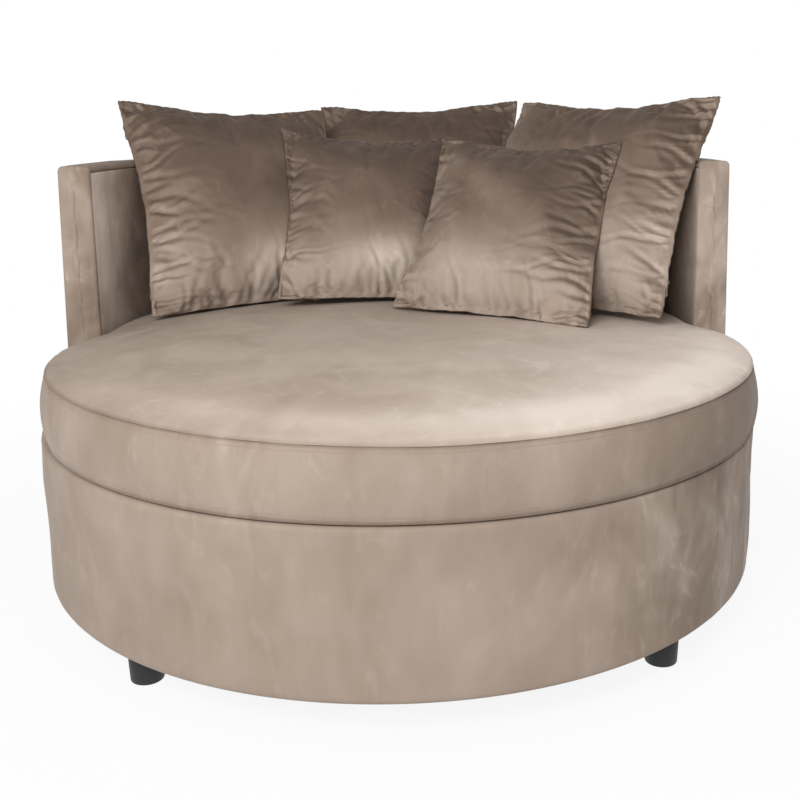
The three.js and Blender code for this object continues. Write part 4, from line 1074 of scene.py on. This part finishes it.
# A scatter cushion: both faces of its grid, moved as the cloth moved and drawn up in gathers at
# their four sides, with a wavy seam between them. It is then kept clear of what it leans on.
def makeCushion(name, cushion, grid, job, move, look, behind):
    x, y, a, b = grid["x"], grid["y"], grid["a"], grid["b"]
    n, half, seed = len(x), cushion["side"] / 2, cushion["seed"]
    sides = {"left": (y, (a + 1) * half), "right": (y, (1 - a) * half),
             "bottom": (x, (b + 1) * half), "top": (x, (1 - b) * half)}
    edge = np.minimum.reduce([off for along, off in sides.values()])
    wave = ripple(x, y, look["seamWave"], seed + 70) * bell(edge, 0.03)
    faces, levelsAndPaintedLight = [], []
    for side, height, index in zip((1, -1), grid["heights"], (job["front"], job["back"])):
        fold = 0 * x
        for k, (sideName, amount) in enumerate(cushion["gather"].items()):
            gather = {"count": int(26 * amount) + 6, "width": 0.0048, "reach": 0.045 + 0.04 * amount,
                      "depth": 0.0024 + 0.0052 * amount}
            span = (-0.92 * half, 0.92 * half)
            fold = fold + gathers(*sides[sideName], span, gather, seed + 10 * k + side)
        lump = ripple(x, y, look["lump"], seed + 50 + side) * ease(edge, 0.0, 0.08)
        z = height + (fold + lump) * ease(edge, -0.002, 0.004)
        face = np.stack([x, y, side * z], -1) + doubled(move[index])
        face[..., 2] = side * np.maximum(0, side * face[..., 2]) + side * look["rim"] + wave
        faces.append(face)
        rise = side * face[..., 2]
        slope = np.gradient(rise, axis=0) / np.maximum(np.gradient(y, axis=0), 1e-4)
        slant = np.gradient(rise, axis=1) / np.maximum(np.gradient(x, axis=1), 1e-4)
        # Painted light and shade on each face: dark at the top, a painted band of light low down, darker
        # again at the bottom edge, then the cushion's own tone.
        tone = 0.215 + 0.07 * ease(-b, -0.9, 0.1) + 0.16 * ease(-b, 0.0, 0.6)
        tone = tone - 0.10 * ease(-b, 0.8, 1.0) + cushion["tone"]
        # A painted highlight: a bright spot laid on each face.
        highlightA, highlightB, wide, high, amount = cushion["paintedHighlight"]
        highlightSpot = -((a - highlightA) / wide) ** 2 - ((b - highlightB - 0.15 * (a - highlightA)) / high) ** 2
        tone = tone + amount * np.exp(highlightSpot)
        # Painted shade and light by the slope of the face, so that each wrinkle gets a lit and a shaded side,
        # and a painted sheen along the seam.
        tone = tone + 0.26 * np.clip(slope, -0.5, 0.9) + 0.08 * np.clip(slant, -0.8, 0.8)
        levelsAndPaintedLight.append(tone + 0.03 * np.exp(-edge / 0.010))
    quads, border = sewnFaces(n, 3)
    centre = np.stack([x.ravel()[border], y.ravel()[border], 0 * x.ravel()[border]], -1)
    run = np.arange(len(border)) / len(border)
    tuck = np.sin(2 * np.pi * look["tuckCount"] * run + 2.0 * np.sin(2 * np.pi * 7 * run + seed))
    tuck = look["tuckDepth"] * tuck
    for face in faces:
        face.reshape(-1, 3)[border, 2] += tuck
    tuck = tuck + wave.ravel()[border]
    out = unit(centre)
    rims = [centre + out * grow + np.stack([0 * tuck, 0 * tuck, level + tuck], -1)
            for level, grow in ((0.0011, 0.0012), (0.0, -0.0006), (-0.0011, 0.0012))]
    local = np.concatenate([faces[0].reshape(-1, 3), faces[1].reshape(-1, 3), *rims])
    axes, place = cushionAxes(cushion), cushionPlace(name, cushion, look)
    points = local @ axes + place
    for other in behind:
        points = clearOfCushion(points, other, look, look["cushionSpace"])
    points = clearOfSeat(clearOfWall(points, look["wallSpace"]), look["space"])
    front = ((points[:n * n] - place) @ axes.T).reshape(n, n, 3)
    toneAndPaintedLight = np.concatenate([levelsAndPaintedLight[0].ravel(), levelsAndPaintedLight[1].ravel(), np.full(3 * len(border), 0.3)])
    piece = makePiece("scatterCushion_" + name, points, quads, None, {"toneAndPaintedLight": toneAndPaintedLight, "crush": 0.12}, velvet)
    settle(piece, ["cushion_cover_" + name, "cushion_filling_" + name], name + "_cushion")
    return {"axes": axes, "place": place, "map": heightMap(front, look)}


grids = {name: cushionGrid(cushion, cushionLook) for name, cushion in cushions.items()}
jobs = {name: cushionJob(grid, cushionLook) for name, grid in grids.items()}
moves = dict(zip(jobs, swollen(list(jobs.values()), clothLook)))
leansOn = {
    "small_left": ["large_left", "large_middle"],
    "small_right": ["large_right", "small_left", "large_middle"],
}
made = {}
for cushionName, cushion in cushions.items():
    behind = [made[other] for other in leansOn.get(cushionName, [])]
    made[cushionName] = makeCushion(cushionName, cushion, grids[cushionName], jobs[cushionName],
                                    moves[cushionName], cushionLook, behind)
print("scatter cushions made")


foot = {"height": 0.059, "bottomRadius": 0.026, "topRadius": 0.029, "edge": 0.003, "stations": 72}


# A foot: a tapered post with a rounded lower edge, turned about its own middle.
def makeFoot(name, look):
    low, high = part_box("foot_" + name)
    middle = (low + high) / 2
    r, e, top, height = (look[k] for k in ("bottomRadius", "edge", "topRadius", "height"))
    profile = np.concatenate([[(r * 0.5, 0.0)], arc((r - e, e), e, -90, 0, 7),
                              [(top - 0.0006, height - 0.0008), (top - 0.0014, height), (top * 0.5, height)]])
    turn = np.linspace(0, 2 * np.pi, look["stations"], endpoint=False)[:, None]
    points = polar(profile[None, :, 0], turn, profile[None, :, 1] + 0 * turn)
    points = points.reshape(-1, 3) + np.array([middle.x, middle.y, low.z])
    ends = [(middle.x, middle.y, low.z), (middle.x, middle.y, low.z + height)]
    rows, total = len(profile), len(points)
    ring = np.arange(look["stations"]) * rows
    fans = np.concatenate([fanFaces(total, ring), fanFaces(total + 1, ring + rows - 1, True)])
    quads = gridFaces(look["stations"], rows, True, False)
    piece = makePiece("post_" + name, np.concatenate([points, ends]), quads, fans, None, blackPlastic)
    settle(piece, ["foot_" + name])


for footName in ("front_left", "front_right", "back_right", "back_left"):
    makeFoot(footName, foot)


# A round cloth pulled tight over the base: rings of points round its middle, at the height of
# the top of the node that it stands for.
def makeRoundCloth(name, node, thickness):
    low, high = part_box(node)
    radius = (high.x - low.x) / 2
    shares = np.sqrt(np.linspace(0.0004, 1, 26))
    turn = np.linspace(0, 2 * np.pi, 120, endpoint=False)[:, None]
    points = polar(radius * shares, turn, high.z)
    middle = points[:, 0].mean(0)
    rows, total = len(shares), len(turn) * len(shares)
    quads = gridFaces(len(turn), rows, True, False)[:, ::-1]
    fan = fanFaces(total, np.arange(len(turn)) * rows, True)
    piece = makePiece(name, np.concatenate([points.reshape(-1, 3), [middle]]), quads, fan, None, lining)
    thicken(piece, thickness)
    settle(piece, [node])
    return piece, radius


for clothName, node, thickness, under in (("deckCloth", "seat_deck_cloth", 0.0009, "seat_webbing"),
                                          ("dustCover", "base_dust_cover", 0.0007, "base_bottom_panel")):
    cloth, radius = makeRoundCloth(clothName, node, thickness)
print("feet and linings made")
